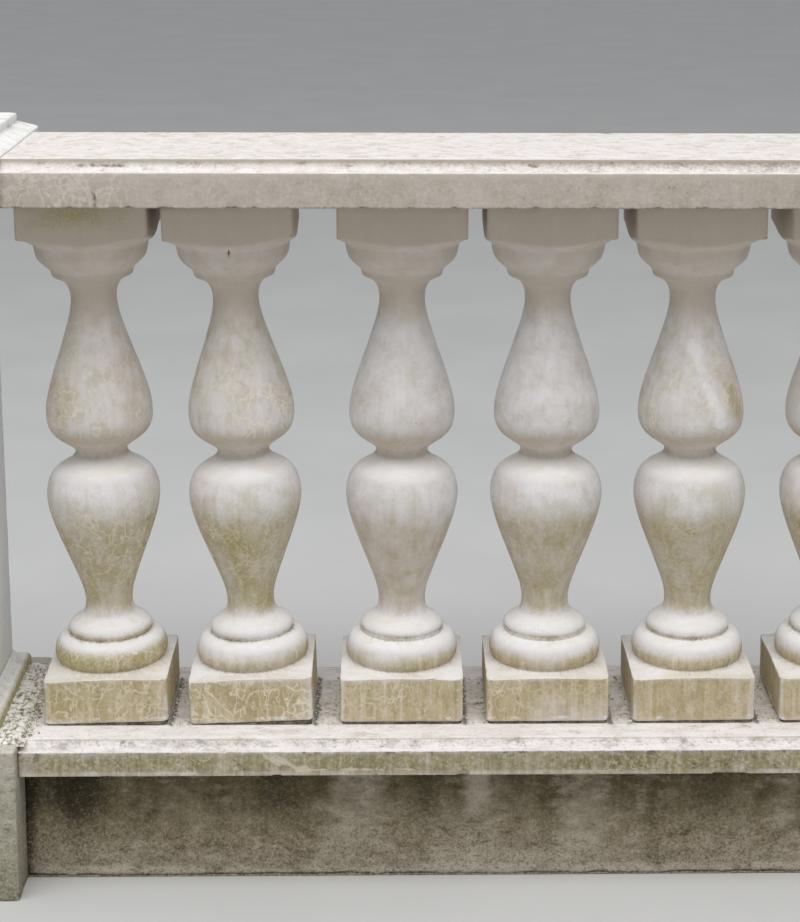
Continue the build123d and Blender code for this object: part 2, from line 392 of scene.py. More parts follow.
def concrete(name, pale, body, brown, soil_and_shade, tan_a, tan_b, green_a, green_b, crack, top, top_tint,
             craze=(16.0, 0.013, 0.72), streak=0.35, speck=1.0, wash=(22.0, 0.55), grain=0.0, even=0.9, chalk=None, has=()):
    """Old cast concrete. Attributes say where each kind of age has settled: tan, soil, green, dark, pale, craze, flake,
    grit. The soil and dark films also carry painted shade in hollows, creases and sheltered parts; pale also carries
    painted light on upward faces.
    """
    m = Mat(name)
    damp_tan = tuple(0.5 * a + 0.5 * b for a, b in zip(tan_b, (0.10, 0.075, 0.035, 1.0)))
    big = m.noise(6.0, 2.0, 0.55)
    mid = m.noise(38.0, 4.0, 0.62)
    fine = m.noise(260.0, 3.0, 0.7)
    runs = m.noise(1.0, 3.0, 0.6, vec=m.scaled(120.0, 120.0, 7.0))
    up = m.ramp(m.upward(), 0.45, 0.95)
    blotch = m.add(m.mul(mid, 0.6), m.mul(big, 0.4))

    col = m.mix(m.ramp(blotch, 0.38, 0.62), pale, body)
    col = m.mix(m.mul(m.ramp(mid, 0.46, 0.74), 0.45), col, brown)
    col = m.mix(m.mul(m.ramp(runs, 0.48, 0.76), streak), col, brown)
    # brown-grey film on the sheltered parts: dirt, and painted shade where little light reaches
    held = m.film("soil_and_shade", m.add(m.mul(mid, 0.5), m.mul(runs, 0.5)), 0.5, (0.0, 1.0))
    col = m.mix(m.mul(held, 0.96), col, soil_and_shade)
    # tan and olive film, streaked
    shade = m.mix(m.ramp(m.add(m.mul(mid, 0.5), m.mul(runs, 0.5)), 0.40, 0.62), tan_a, tan_b)
    shade = m.mix(m.mul(m.ramp(runs, 0.44, 0.26), 0.35), shade, pale)
    if grain:
        drips = m.noise(1.0, 3.0, 0.65, vec=m.scaled(300.0, 300.0, 26.0, (5.3, 1.9, 0.4)))
        mixed = m.add(m.mul(drips, 0.55), m.mul(fine, 0.45))
        thick = m.ramp(m.attr("tan"), 0.45, 0.85, 0.25, 1.0)
        shade = m.mix(m.mul(m.mul(m.ramp(mixed, 0.50, 0.64), 0.55 * grain), thick), shade, damp_tan)
        shade = m.mix(m.mul(m.ramp(mixed, 0.48, 0.35), 0.32 * grain), shade, pale)
    col = m.mix(m.mul(m.film("tan", m.add(m.mul(mid, 0.6), m.mul(runs, 0.4)), even, (0.02, 0.95)), 0.95), col, shade)
    # algae
    col = m.mix(m.mul(m.film("green", m.add(m.mul(mid, 0.7), m.mul(fine, 0.3)), 0.9, (0.0, 1.0)), 0.85), col,
                m.mix(m.ramp(fine, 0.35, 0.65), green_a, green_b))
    # pale wandering lines where lime has filled the hair cracks
    n1 = m.noise(craze[0], 4.0, 0.52, dist=0.3)
    n2 = m.noise(1.0, 4.0, 0.52, vec=m.scaled(craze[0] * 1.5, craze[0] * 1.5, craze[0] * 0.75, (3.1, 7.7, 1.3)), dist=0.2)
    lines = m.op("MAXIMUM", m.contour(n1, 0.50, craze[1]), m.op("MAXIMUM", m.contour(n1, 0.59, 0.8 * craze[1]), m.mul(m.contour(n2, 0.48, craze[1]), 0.85)))
    lines = m.op("MAXIMUM", lines, m.mul(m.contour(n2, 0.56, 0.8 * craze[1]), 0.7))
    lines = m.mul(lines, m.film("craze", m.add(m.mul(big, 0.4), m.mul(mid, 0.6)), 1.4, (0.15, 0.80)))
    col = m.mix(m.mul(lines, craze[2]), col, crack)
    # washed arrises, and upward faces paler: partly bleached by rain, partly painted light from above
    col = m.mix(m.mul(m.film("pale", m.add(m.mul(mid, 0.6), m.mul(fine, 0.4)), 1.5, (0.10, 0.80)), 0.88), col, top)
    long_ = m.noise(1.0, 4.0, 0.68, vec=m.scaled(wash[0], 70.0, 70.0))
    tint = m.mix(m.ramp(long_, 0.42, 0.58), top, top_tint)
    tint = m.mix(m.mul(m.ramp(m.add(m.mul(mid, 0.5), m.mul(long_, 0.5)), 0.52, 0.62), wash[1]), tint, brown)
    col = m.mix(m.mul(up, m.ramp(m.add(m.attr("tan"), m.attr("green")), 0.15, 0.95, 0.90, 0.50)), col, tint)
    if "flake" in has:
        col = m.mix(m.mul(m.film("flake", m.add(m.mul(mid, 0.55), m.add(m.mul(fine, 0.25), m.mul(n2, 0.20))), 2.6, (0.38, 0.70)), 0.70), col, chalk or top)
    # dark and light grains, then grime and painted shade in joints, grooves, hollows and chips
    clear = m.mul(m.inv(m.mul(held, 0.75)), speck)
    col = m.mix(m.mul(m.mul(m.ramp(fine, 0.52, 0.74), 0.30), clear), col, m.mix(0.60, col, (0.04, 0.034, 0.024, 1)))
    col = m.mix(m.mul(m.mul(m.ramp(fine, 0.48, 0.28), 0.26), clear), col, top)
    spot = m.mul(m.mul(m.ramp(m.add(fine, m.mul(mid, 0.45)), 0.88, 0.96), m.ramp(big, 0.48, 0.60)), clear)
    col = m.mix(m.mul(spot, 0.5), col, srgb(120, 108, 86))
    grime_and_shade = m.mix(fine, srgb(108, 99, 78), srgb(56, 50, 38))
    dark = m.film("dark", m.add(m.mul(mid, 0.4), m.mul(fine, 0.6)), 1.6, (0.10, 0.90))
    col = m.mix(m.mul(dark, 0.82), col, grime_and_shade)
    height = m.add(m.mul(fine, 0.8), m.mul(mid, 1.0))
    if "grit" in has:
        # crumbs of stone and mortar with moss threads
        g1 = m.noise(150.0, 4.0, 0.75)
        gcol = m.mix(m.ramp(g1, 0.42, 0.60), srgb(240, 236, 228), srgb(202, 197, 182))
        gcol = m.mix(m.ramp(m.add(m.mul(g1, 0.55), m.mul(mid, 0.45)), 0.58, 0.65), gcol, srgb(90, 84, 68))
        gcol = m.mix(m.mul(m.ramp(mid, 0.54, 0.68), 0.35), gcol, srgb(140, 140, 106))
        gr = m.film("grit", m.add(m.mul(mid, 0.5), m.mul(g1, 0.5)), 2.0, (0.25, 0.75))
        col = m.mix(m.mul(gr, 0.90), col, gcol)
        height = m.add(height, m.mul(gr, m.mul(g1, 2.5)))
    rough = m.ramp(m.add(m.mul(fine, 0.5), m.mul(mid, 0.5)), 0.3, 0.7, 0.78, 0.97)
    return m.finish(col, rough, height, 0.50, 0.0011)


def render_coat(name, low, mid_, high, black, pale, smooth=0.0, grain=1.0):
    """Rough cement render: dark and olive under the rail, greyer and paler towards the ground. The dark film carries
    painted shade in creases, along feet and under overhangs as well as dirt.
    """
    m = Mat(name)
    big = m.noise(8.0, 3.0, 0.6)
    mid = m.noise(1.0, 4.0, 0.7, vec=m.scaled(34.0, 34.0, 62.0))
    fine = m.noise(230.0, 3.0, 0.75)
    runs = m.noise(1.0, 4.0, 0.66, vec=m.scaled(30.0, 30.0, 2.6))
    h = m.add(m.attr("height"), m.mul(m.add(m.add(m.mul(runs, 0.7), m.mul(big, 0.3)), -0.5), 1.3))
    col = m.mix(m.ramp(h, 0.05, 0.50), low, mid_)
    col = m.mix(m.ramp(h, 0.45, 0.95), col, high)
    col = m.mix(m.mul(m.ramp(mid, 0.48, 0.68), 0.38), col, pale)
    col = m.mix(m.mul(m.ramp(mid, 0.47, 0.30), 0.50), col, black)
    col = m.mix(m.mul(m.film("green", m.add(m.mul(mid, 0.5), m.mul(big, 0.5)), 1.3, (0.05, 0.95)), 0.7), col, srgb(124, 122, 82))
    col = m.mix(m.mul(m.film("pale", m.add(m.mul(mid, 0.6), m.mul(fine, 0.4)), 1.5), 0.8), col, pale)
    col = m.mix(m.mul(m.film("dark", m.add(m.mul(mid, 0.6), m.mul(fine, 0.4)), 1.3), 0.85), col, black)
    sand = m.add(m.mul(m.noise(380.0, 2.0, 0.7), 0.5), m.mul(fine, 0.5))
    bare = m.ramp(m.attr("height"), 0.20, 0.80, 1.0, 0.40)
    col = m.mix(m.mul(m.mul(m.ramp(sand, 0.49, 0.60), 0.62 * grain), bare), col, m.mix(0.75, col, black))
    col = m.mix(m.mul(m.mul(m.ramp(sand, 0.48, 0.38), 0.46 * grain), bare), col, m.mix(0.80, col, pale))
    k = 1.0 - smooth
    height = m.add(m.mul(fine, 1.8 * k + 0.3), m.mul(mid, 1.8 * k + 0.4))
    rough = m.ramp(m.add(m.mul(fine, 0.5), m.mul(mid, 0.5)), 0.3, 0.7, 0.80, 0.98)
    return m.finish(col, rough, height, 0.75, 0.0016)


# colour of the brown-grey film: dirt, and painted shade in sheltered parts
SOIL_AND_SHADE = srgb(198, 187, 171)
baluster_mat = concrete("cast_concrete_baluster", srgb(229, 225, 226), srgb(218, 213, 210), srgb(198, 189, 175), SOIL_AND_SHADE,
                        srgb(198, 182, 146), srgb(178, 162, 120), srgb(184, 176, 122), srgb(154, 148, 96), srgb(238, 229, 206),
                        top=srgb(240, 238, 239), top_tint=srgb(236, 231, 224), streak=0.24, speck=0.45, wash=(30.0, 0.12), grain=0.8, even=0.45, has=("flake",))
top_rail_mat = concrete("cast_concrete_top_rail", srgb(196, 188, 179), srgb(188, 179, 168), srgb(174, 163, 149), srgb(180, 170, 156),
                        srgb(176, 165, 138), srgb(162, 151, 124), srgb(164, 158, 120), srgb(138, 134, 96), srgb(224, 216, 205),
                        top=srgb(238, 233, 231), top_tint=srgb(226, 219, 212), craze=(20.0, 0.020, 0.44), streak=0.25, wash=(60.0, 0.30))
bottom_rail_mat = concrete("cast_concrete_bottom_rail", srgb(222, 216, 210), srgb(212, 204, 194), srgb(184, 174, 154), SOIL_AND_SHADE,
                           srgb(170, 158, 122), srgb(144, 133, 98), srgb(144, 138, 94), srgb(114, 108, 72), srgb(222, 211, 186),
                           top=srgb(244, 240, 240), top_tint=srgb(232, 226, 224), craze=(12.0, 0.009, 0.75), streak=0.6, speck=1.5, grain=1.0, wash=(22.0, 0.30), chalk=srgb(222, 211, 190),
                           has=("flake", "grit"))
pier_mat = concrete("cast_concrete_pier", srgb(236, 238, 238), srgb(226, 226, 224), srgb(208, 202, 190), SOIL_AND_SHADE,
                    srgb(208, 192, 156), srgb(184, 168, 126), srgb(176, 172, 124), srgb(144, 142, 94), srgb(242, 238, 230),
                    top=srgb(246, 246, 246), top_tint=srgb(238, 234, 228), craze=(12.0, 0.009, 0.5), streak=0.3)
wall_mat = render_coat("rendered_wall_coat", srgb(160, 149, 128), srgb(144, 133, 108), srgb(98, 88, 60), srgb(44, 38, 24), srgb(202, 192, 174), grain=1.1)
plinth_mat = render_coat("rendered_plinth_coat", srgb(150, 142, 118), srgb(168, 161, 142), srgb(188, 183, 168), srgb(80, 73, 54),
                         srgb(214, 209, 196), smooth=0.5, grain=1.2)


def mortar(name):
    m = Mat(name)
    n1, n2 = m.noise(90.0, 4.0, 0.7), m.noise(420.0, 2.0, 0.6)
    col = m.mix(m.ramp(n1, 0.38, 0.64), srgb(96, 86, 68), srgb(146, 136, 114))
    col = m.mix(m.mul(m.ramp(n2, 0.45, 0.65), 0.5), col, srgb(52, 46, 36))
    rough = m.ramp(n1, 0.3, 0.7, 0.86, 0.98)
    return m.finish(col, rough, m.add(m.mul(n1, 1.5), n2), 0.7, 0.0015)


def grit_look(name):
    m = Mat(name)
    n1, n2 = m.noise(200.0, 2.0, 0.6), m.noise(70.0, 3.0, 0.6)
    col = m.mix(m.ramp(n1, 0.40, 0.62), srgb(238, 234, 224), srgb(150, 144, 124))
    col = m.mix(m.mul(m.ramp(n2, 0.56, 0.70), 0.60), col, srgb(140, 138, 100))
    col = m.mix(m.mul(m.ramp(n1, 0.62, 0.70), 0.30), col, srgb(84, 78, 62))
    return m.finish(col, m.ramp(n1, 0.3, 0.7, 0.82, 0.98), n1, 0.6, 0.001)


def ridge_look(name):
    m = Mat(name)
    n1, n2 = m.noise(190.0, 3.0, 0.65), m.noise(55.0, 3.0, 0.6)
    col = m.mix(m.ramp(n1, 0.38, 0.64), srgb(240, 236, 228), srgb(182, 176, 158))
    col = m.mix(m.mul(m.film("green", m.add(m.mul(n2, 0.6), m.mul(n1, 0.4)), 1.4), 0.75), col, srgb(140, 140, 100))
    col = m.mix(m.mul(m.film("dark", m.add(m.mul(n2, 0.4), m.mul(n1, 0.6)), 1.2), 0.85), col, srgb(72, 68, 52))
    col = m.mix(m.mul(m.film("pale", n1, 1.0), 0.8), col, srgb(246, 243, 238))
    return m.finish(col, m.ramp(n1, 0.3, 0.7, 0.84, 0.98), m.add(n1, m.mul(n2, 0.5)), 0.6, 0.001)


mortar_mat = mortar("bedding_mortar_old")
ridge_mat = ridge_look("bedding_mortar_crumbled")
grit_mat = grit_look("bedding_mortar_grit")


# ------------------------------------------------------------------ balusters
TURNED = [
    ("line", (113.0, 53.6)),
    ("spline", [(95.0, 55.0), (75.0, 57.0), (65.8, 60.8)]),
    ("spline", [(68.4, 65.0), (69.3, 70.5), (68.6, 77.5), (65.9, 84.5), (60.6, 90.6), (51.2, 94.6)]),
    ("line", (51.7, 102.0)),
    ("spline", [(50.2, 105.0), (46.4, 108.9), (41.4, 112.0), (36.4, 115.4), (32.3, 119.6), (29.9, 125.0), (28.9, 131.5),
                (29.2, 140.0), (31.1, 150.0), (34.1, 160.0), (37.6, 170.0), (41.3, 180.0), (45.1, 190.0),
                (48.9, 200.0), (52.8, 210.0), (56.5, 220.0), (60.0, 230.0), (63.2, 240.0), (65.9, 250.0),
                (67.9, 260.0), (68.8, 269.5), (68.3, 279.0), (66.1, 288.5), (62.0, 297.5), (56.0, 304.5),
                (47.6, 310.0), (39.0, 315.2), (33.4, 320.4), (31.3, 325.0)]),
    ("spline", [(33.2, 329.8), (38.4, 334.2), (45.6, 339.2), (52.2, 344.0), (57.8, 349.6), (61.8, 356.4),
                (64.0, 365.0), (64.6, 374.5), (63.8, 384.5), (61.9, 395.0), (59.3, 405.0), (56.4, 415.0),
                (53.2, 425.0), (49.9, 435.0), (46.3, 445.0), (42.8, 455.0), (39.6, 465.0), (36.4, 475.0),
                (33.2, 485.0), (30.5, 495.0), (28.5, 505.0), (27.7, 513.0), (28.0, 520.0), (29.2, 527.0),
                (32.4, 533.6), (37.6, 538.6), (48.4, 543.6)]),
    ("line", (50.2, 551.2)),
    ("spline", [(53.6, 554.6), (58.2, 558.6), (62.4, 562.6), (65.4, 567.0), (67.0, 572.0), (67.9, 577.0), (68.9, 582.6)]),
    ("spline", [(72.6, 586.2), (77.6, 588.8), (84.5, 592.6), (95.0, 596.8), (113.0, 600.5)]),
    ("line", (113.0, H)),
]
PROFILE, P_OUT, P_IN = section((113.0, 0.0), TURNED, 6.4, bend=16.0, worn=0.9)


def refine(table, zones):
    """Adds rows to a profile table where the second column lies in one of the zones (low, high, spacing)."""
    rows = [table[0]]
    for a, b in zip(table[:-1], table[1:]):
        gap = np.linalg.norm(b[:2] - a[:2])
        want = min([w for low, high, w in zones if low <= min(a[1], b[1]) and max(a[1], b[1]) <= high] or [gap])
        k = max(1, int(round(gap / want)))
        rows += [a + (b - a) * (j / k) for j in range(1, k + 1)]
    return np.array(rows)


_table = refine(np.column_stack([PROFILE, P_OUT, P_IN]), [(-1.0, 14.0, 1.8), (86.0, 110.0, 1.3)])
PROFILE, P_OUT, P_IN = _table[:, :2], _table[:, 2], _table[:, 3]
# how much of each kind of age the eight castings carry
CRAZED = [0.65, 0.62, 0.06, 0.10, 0.42, 0.40, 0.15, 0.30]
BLOCK_CRAZE = [0.62, 0.66, 0.42, 0.46, 0.30, 0.40, 0.50, 0.45]
SOILED = [1.25, 1.15, 0.98, 1.02, 1.12, 1.15, 0.95, 1.05]
LIP = [95.5, 95.5, 99.6, 99.2, 96.6, 95.8, 98.0, 96.4]


def smin(a, b, k):
    h = np.clip(0.5 + 0.5 * (b - a) / k, 0, 1)
    return b * (1 - h) + a * h - k * h * (1 - h)


def blob(V, centre, reach):
    return np.exp(-(((V - np.array(centre)) / np.array(reach)) ** 2).sum(-1))


def baluster(i):
    seed = 100 * (i + 1)
    R, z = PROFILE[:, 0][:, None], PROFILE[:, 1][:, None]
    half = np.where(z < SPLIT, BLOCK / 2, ABACUS / 2)
    k = 2.0
    for e in (z, H - z):
        half = half - np.where(e < k, k - np.sqrt(np.maximum(k * k - (k - e) ** 2, 0)), 0.0) * 0.8
    side = np.sort(np.concatenate([SIDE, [-0.055, -0.024, 0.024, 0.055]])) if i == 1 else SIDE
    flat, near = outline(1.0, 1.0, 5.0 / 75.0, side)
    near = near * 75.0
    unit = np.linalg.norm(flat, axis=1)
    d = flat / unit[:, None]
    sq = half * unit[None, :]
    r = smin(np.broadcast_to(R, sq.shape), sq, 3.0)
    limited = step(-4.0, 6.0, R - sq)                      # 1 where the flat faces cut the turning
    V = np.stack([r * d[:, 0], r * d[:, 1], np.broadcast_to(z, r.shape)], -1)
    f = np.array([0.3, 0.62, 0.86, 0.97])
    rings0 = np.stack([np.stack([V[0, :, 0] * s, V[0, :, 1] * s, V[0, :, 2]], -1) for s in f])
    rings1 = np.stack([np.stack([V[-1, :, 0] * s, V[-1, :, 1] * s, V[-1, :, 2]], -1) for s in f[::-1]])
    n0 = len(f)
    corner = np.exp(-(near / 5.5) ** 2)[None, :] * limited * np.where(z > SPLIT, 0.55, 1.0)
    edge = np.exp(-((R - sq - 1.5) / 4.0) ** 2) * np.where((z > 45) & (z < 66), 1.0, 0.0)
    ends = np.exp(-(np.minimum(z, H - z) / 3.5) ** 2) * np.ones_like(sq)
    arris = np.clip(np.maximum(np.maximum(corner * 0.9, edge * 0.8), np.maximum(ends * 0.4, P_OUT[:, None] * 0.2 * (1 - limited))), 0, 1)
    V = np.concatenate([rings0, V, rings1])
    pad = lambda a: np.concatenate([np.repeat(a[:1], n0, 0), a, np.repeat(a[-1:], n0, 0)])
    arris = pad(arris * np.ones_like(sq))
    arris[:n0] = 0
    arris[-n0:] = 0
    limited, hollow = pad(limited * np.ones_like(sq)), pad(P_IN[:, None] * (1 - limited))
    # local wear, in a place of the noise of its own
    n = grid_normals(V)
    P = V + np.array([1000.0 * i, 300.0, 0.0])
    dep = wear(P, n, arris, seed, grain=0.22, chip=2.4, chips=0.38 - (0.05 if i < 2 else 0.0), round_off=0.4)
    dep[:n0 - 1] = 0
    dep[-n0 + 1:] = 0
    if i == 1:   # one small chip on the band at the front, and the lost corners of the slab
        chip = blob(V, (0.0, -67.5, 581.0), (1.4, 9.0, 5.2))
        dep = dep + 3.2 * chip + 5.0 * blob(V, (77.0, -77.0, 594.0), (8.0, 8.0, 6.0)) + 4.0 * blob(V, (-77.0, -77.0, 592.0), (6.0, 7.0, 5.0))
    if i == 0:
        dep = dep + 5.0 * blob(V, (77.0, -77.0, 592.0), (9.0, 8.0, 7.0)) + 3.0 * blob(V, (-77.0, -77.0, 590.0), (6.0, 7.0, 4.0))
    dep = dep + 0.8 * np.exp(-((V[..., 2] - LIP[i]) / 1.6) ** 2)
    W = V - n * dep[..., None]
    # soiling and stains, with painted shade and painted light among them
    x, y, zz = V[..., 0], V[..., 1], V[..., 2]
    nz = n[..., 2]
    block = step(57.5, 53, zz) * limited
    slab = step(588, 597, zz)
    fillet = step(93, 95.5, zz) * step(102.0, 99.0, zz)
    lip = np.exp(-((zz - LIP[i]) / 1.7) ** 2)
    run = vnoise(P * np.array([1, 1, 0.12]), 9.0, seed + 71)
    wide = vnoise(P * np.array([1, 1, 0.3]), 42.0, seed + 72)
    rim = np.exp(-(np.minimum(near, 200)[None, :] / 3.6) ** 2)
    fray = step(-0.5, 0.7, vnoise(P * np.array([1, 1, 0.8]), 8.0, seed + 31))
    tan = block * (0.80 + 0.26 * step(22, 46, zz)) * (1 - (0.20 + 0.40 * fray) * rim) * (1 - 0.40 * np.exp(-((zz - 53.5) / 2.5) ** 2)) * (1 - 0.30 * np.exp(-(zz / 5.0) ** 2))
    tan = tan + block * (0.0, 0.0, 0.12, 0.10, 0.04, 0.0, 0.0, 0.0)[i]
    tan = tan + (0.86 + 0.2 * wide) * step(88, 67, zz) * step(60, 64, zz) * (1 - block)          # lower half of the torus
    tan = tan + 0.45 * fillet + 0.45 * bump_at(zz, 60.0, 5) * (1 - block)
    tan = tan + ((0.42, 0.46, 0.36, 0.42, 0.46, 0.45, 0.4, 0.42)[i] + 0.14 * step(0.0, 0.8, run) + 0.12 * wide) * step(106, 135, zz) * step(335, 215, zz)
    tan = tan + 0.28 * bump_at(zz, 346, 24) + 0.15 * bump_at(zz, 325, 15)
    tan = tan + ((0.24, 0.26, 0.0, 0.04, 0.20, 0.14, 0.05, 0.12)[i] + (0.10 + 0.16 * wide) * step(0.1, 0.9, run)) * step(345, 400, zz) * step(540, 470, zz)
    tan = tan * SOILED[i] * (0.9 + 0.3 * vnoise(P, 60.0, seed + 3))
    # the brown-grey film here is dirt and also painted shade: on the slab and upper neck under the rail, round the
    # waist under the upper bulb, and on the downward-facing lower part of the lower bulb
    soil_and_shade = 0.85 * slab + 0.62 * step(540, 549, zz) * (1 - slab) + 0.80 * step(465, 525, zz) * step(552, 541, zz)
    soil_and_shade = soil_and_shade + 0.62 * step(372, 344, zz) * step(284, 322, zz) + 0.55 * step(121, 134, zz) * step(278, 232, zz) + 0.18 * step(340, 350, zz) * step(490, 450, zz)
    soil_and_shade = soil_and_shade * (0.9 + 0.12 * SOILED[i]) + (0.16, 0.16, 0.0, 0.0, 0.12, 0.1, 0.0, 0.1)[i] * step(340, 360, zz) * step(540, 480, zz)
    green = 0.12 * block * step(0.1, 0.7, vnoise(P, 35.0, seed + 13)) + (0.34, 0.38, 0.10, 0.26, 0.32, 0.32, 0.18, 0.26)[i] * step(106, 140, zz) * step(315, 240, zz)
    c = CRAZED[i]
    craze = BLOCK_CRAZE[i] * block + (0.20 + 0.5 * c) * step(64, 68, zz) * step(95, 84, zz) + 0.7 * c * step(342, 362, zz) * step(490, 430, zz) + 0.45 * c * step(100, 104, zz) * step(128, 118, zz)
    craze = craze + 0.72 * c * step(134, 175, zz) * step(318, 262, zz)
    # paler washed arrises; upward faces below the waist and the lower bulb's shoulder are paler, partly rain-washed,
    # partly painted light
    pale = 0.50 * arris * step(640, 560, zz) * (1 - block * rim * step(52, 44, zz) * (0.90 - 0.55 * fray)) + (0.40 + 0.25 * step(98, 92, zz)) * step(0.25, 0.8, nz) * (zz < 338) * step(57, 66, zz) + 0.22 * step(308, 248, zz) * step(236, 270, zz)
    pale = pale + 0.18 * block * np.exp(-(zz / 7.0) ** 2) * (1 + vnoise(P, 14.0, seed + 29))
    # painted shade: darker in the hollows of the turning and on the fillet under the bell, a painted shadow line under
    # the bell's lip, painted shade at the foot of the torus, along the block's bottom edge and at the foot of the
    # block's right side
    dark = 0.16 * hollow * (zz < 340) + 0.25 * np.exp(-((zz - 0.5) / 1.2) ** 2) * block + 0.06 * fillet + 0.34 * lip * (0.7 + 0.5 * vnoise(P, 16.0, seed + 83)) + 0.12 * bump_at(zz, 61, 3) * (1 - block)
    dark = dark + 0.42 * block * step(70, 74, x) * np.exp(-(zz / 9.0) ** 2) * (1 + 0.6 * vnoise(P, 12.0, seed + 33))
    flake = block * 0.50 * np.exp(-((zz - 5.0) / 4.5) ** 2) * step(-0.5, 0.3, vnoise(P * np.array([1, 1, 2.5]), 17.0, seed + 57))
    ledge = step(0.8, 0.95, nz) * step(52, 54.5, zz) * step(64, 60, zz)
    tan = tan + ledge * (0.18 + 0.35 * wide + 0.34 * step(-56, -74, y)) * SOILED[i]
    if i == 0:
        green = green + 0.62 * np.exp(-np.abs((x + 6) / 52) ** 3) * step(-68, -76, y) * np.exp(-((zz - 628) / 17) ** 2)
        green = green + 0.50 * step(20, -50, x) * bump_at(zz, 74, 18) + 0.25 * block * step(30, -40, x)
        green = green + 0.34 * step(58, 64, zz) * step(99, 90, zz) * (0.7 + 0.5 * wide)
        tan = tan + 0.30 * step(60, 66, zz) * step(97, 86, zz)
        green = green + 0.18 * step(0.2, 0.8, run) * step(155, 185, zz) * step(288, 238, zz)
        tan = tan + 0.22 * step(-10, -45, x) * step(350, 365, zz) * step(440, 410, zz) + 0.3 * bump_at(zz, 98, 8)
    if i == 1:
        # the chip is darkened with painted shade
        dark = dark + 1.0 * chip
        tan = tan + 0.25 * np.exp(-((x + 6) / 16) ** 2) * step(145, 170, zz) * step(252, 232, zz) * (y < 0)
        craze = craze + 0.3 * step(-10, 30, x) * step(342, 362, zz) * step(430, 400, zz)
    if i == 4:
        xc = (455 - zz) * 0.36
        flake = flake + 0.66 * np.exp(-((x - xc) / 14) ** 2) * step(356, 368, zz) * step(486, 465, zz) * (y < 0)
        tan = tan + 0.45 * np.exp(-((x - xc - 26) / 9) ** 2) * step(350, 365, zz) * step(435, 410, zz) * (y < 0)
        craze = craze + 0.2 * step(340, 360, zz) * step(510, 430, zz)
    if i >= 5:
        green = green + 0.15 * step(0.3, 0.8, vnoise(P, 80.0, seed + 19))
    # the back is a little damper
    green = green + 0.15 * np.clip(n[..., 1], 0, 1) * (0.6 + vnoise(P, 70.0, seed + 23))
    # lean, then set the casting in its place
    a = math.radians(LEAN[i])
    if a == 0.0:
        dz = Z_SEAT + BED
    else:
        low = -abs(BLOCK / 2 * math.sin(a))
        top = H * math.cos(a) + abs(ABACUS / 2 * math.sin(a))
        dz = Z_SEAT + (Z_SOFFIT - Z_SEAT - (top - low)) / 2 - low
    X = W[..., 0] * math.cos(a) - W[..., 2] * math.sin(a) + ROW[i]
    Z = W[..., 0] * math.sin(a) + W[..., 2] * math.cos(a) + dz
    W = np.stack([X, W[..., 1] + ROW_Y, Z], -1)
    make_piece(f"worn_baluster_{i + 1}", W, baluster_mat, f"baluster_{i + 1}",
               dict(tan=tan, soil_and_shade=soil_and_shade, green=green, craze=craze, pale=pale, dark=dark, flake=flake))
    bed(i, dz, a)


def bed(i, dz, a):
    """The thin mortar beds under and over a baluster, with ragged, slightly recessed edges."""
    side = np.linspace(-1, 1, 33)[:-1]
    for up in (False, True):
        half = (ABACUS if up else BLOCK) / 2 - 1.2
        zc = dz + (H * math.cos(a) if up else 0.0)
        xc = ROW[i] - (H * math.sin(a) if up else 0.0)
        flat, _ = outline(half, half, 5.0, side)
        seed = 500 + 10 * i + up
        base = np.stack([flat[:, 0], flat[:, 1], np.zeros(len(flat))], 1)
        q = base + np.array([500.0 * i, 0, 90.0 * up])
        jag = 1.0 - (0.8 + 0.8 * fbm(q, 14.0, 3, seed)) / half
        rings = []
        for s, top in ((0.4, 0), (0.85, 0), (1.0, 0), (1.0, 0.5), (1.0, 1), (0.85, 1), (0.4, 1)):
            w = jag[:, None] * s
            xy = flat * w
            gx = xc + xy[:, 0]
            tilt = zc + (gx - xc) * math.tan(a)
            flatz = np.full(len(flat), Z_SOFFIT if up else Z_SEAT)
            z = (tilt * (1 - top) + flatz * top) if up else (flatz * (1 - top) + tilt * top)
            rings.append(np.stack([gx, xy[:, 1] + ROW_Y, z], 1))
        make_piece(f"old_{'upper' if up else 'lower'}_bed_{i + 1}", np.array(rings), mortar_mat,
                   f"{'upper' if up else 'lower'}_bed_{i + 1}")


for i in range(8):
    baluster(i)


# ------------------------------------------------------------------ rails
def rail_section(face, quirk, height):
    r = 0.5
    right = [("line", (RAIL_HALF - r, 0.0)), ("line", (RAIL_HALF, r)), ("line", (RAIL_HALF, face - r)), ("line", (RAIL_HALF - r, face)),
             ("arc", ((RAIL_HALF + PANEL_HALF) / 2 - 3.0, face + (height - quirk - face) * 0.30), (PANEL_HALF, height - quirk)),
             ("line", (PANEL_HALF, height - 1.0)), ("line", (PANEL_HALF - 1.0, height))]
    pts = dense((0.0, 0.0), right)
    loop = np.vstack([pts, pts[::-1] * np.array([-1, 1])])
    segs = [("line", tuple(p)) for p in loop[1:]]
    return section(tuple(loop[0]), segs, 9.0, bend=15.0, worn=0.6, closed=True)


def finer(table, pick, k):
    """Splits the edges of a closed section into k where their middles are picked."""
    rows = []
    for a, b in zip(table, np.roll(table, -1, 0)):
        m = k if pick(0.5 * (a + b)) else 1
        rows += [a + (b - a) * (j / m) for j in range(m)]
    return np.array(rows)


def along(x0, x1, pitch):
    n = int(round((x1 - x0) / pitch))
    return np.linspace(x0, x1, n + 1)


def sweep(x0, x1, pts, pitch):
    xs = along(x0, x1, pitch)
    V = np.empty((len(xs), len(pts), 3))
    V[..., 0] = xs[:, None]
    V[..., 1] = pts[:, 0][None, :]
    V[..., 2] = pts[:, 1][None, :]
    return V


def close_ends(V, parts=(0.55, 0.9)):
    """Adds shrunken copies of the end sections, so that the ends are flat faces."""
    out = []
    for e in (0, -1):
        c = V[e].mean(0)
        out.append([c + (V[e] - c) * s for s in parts])
    return np.concatenate([np.array(out[0]), V, np.array(out[1])[::-1]])


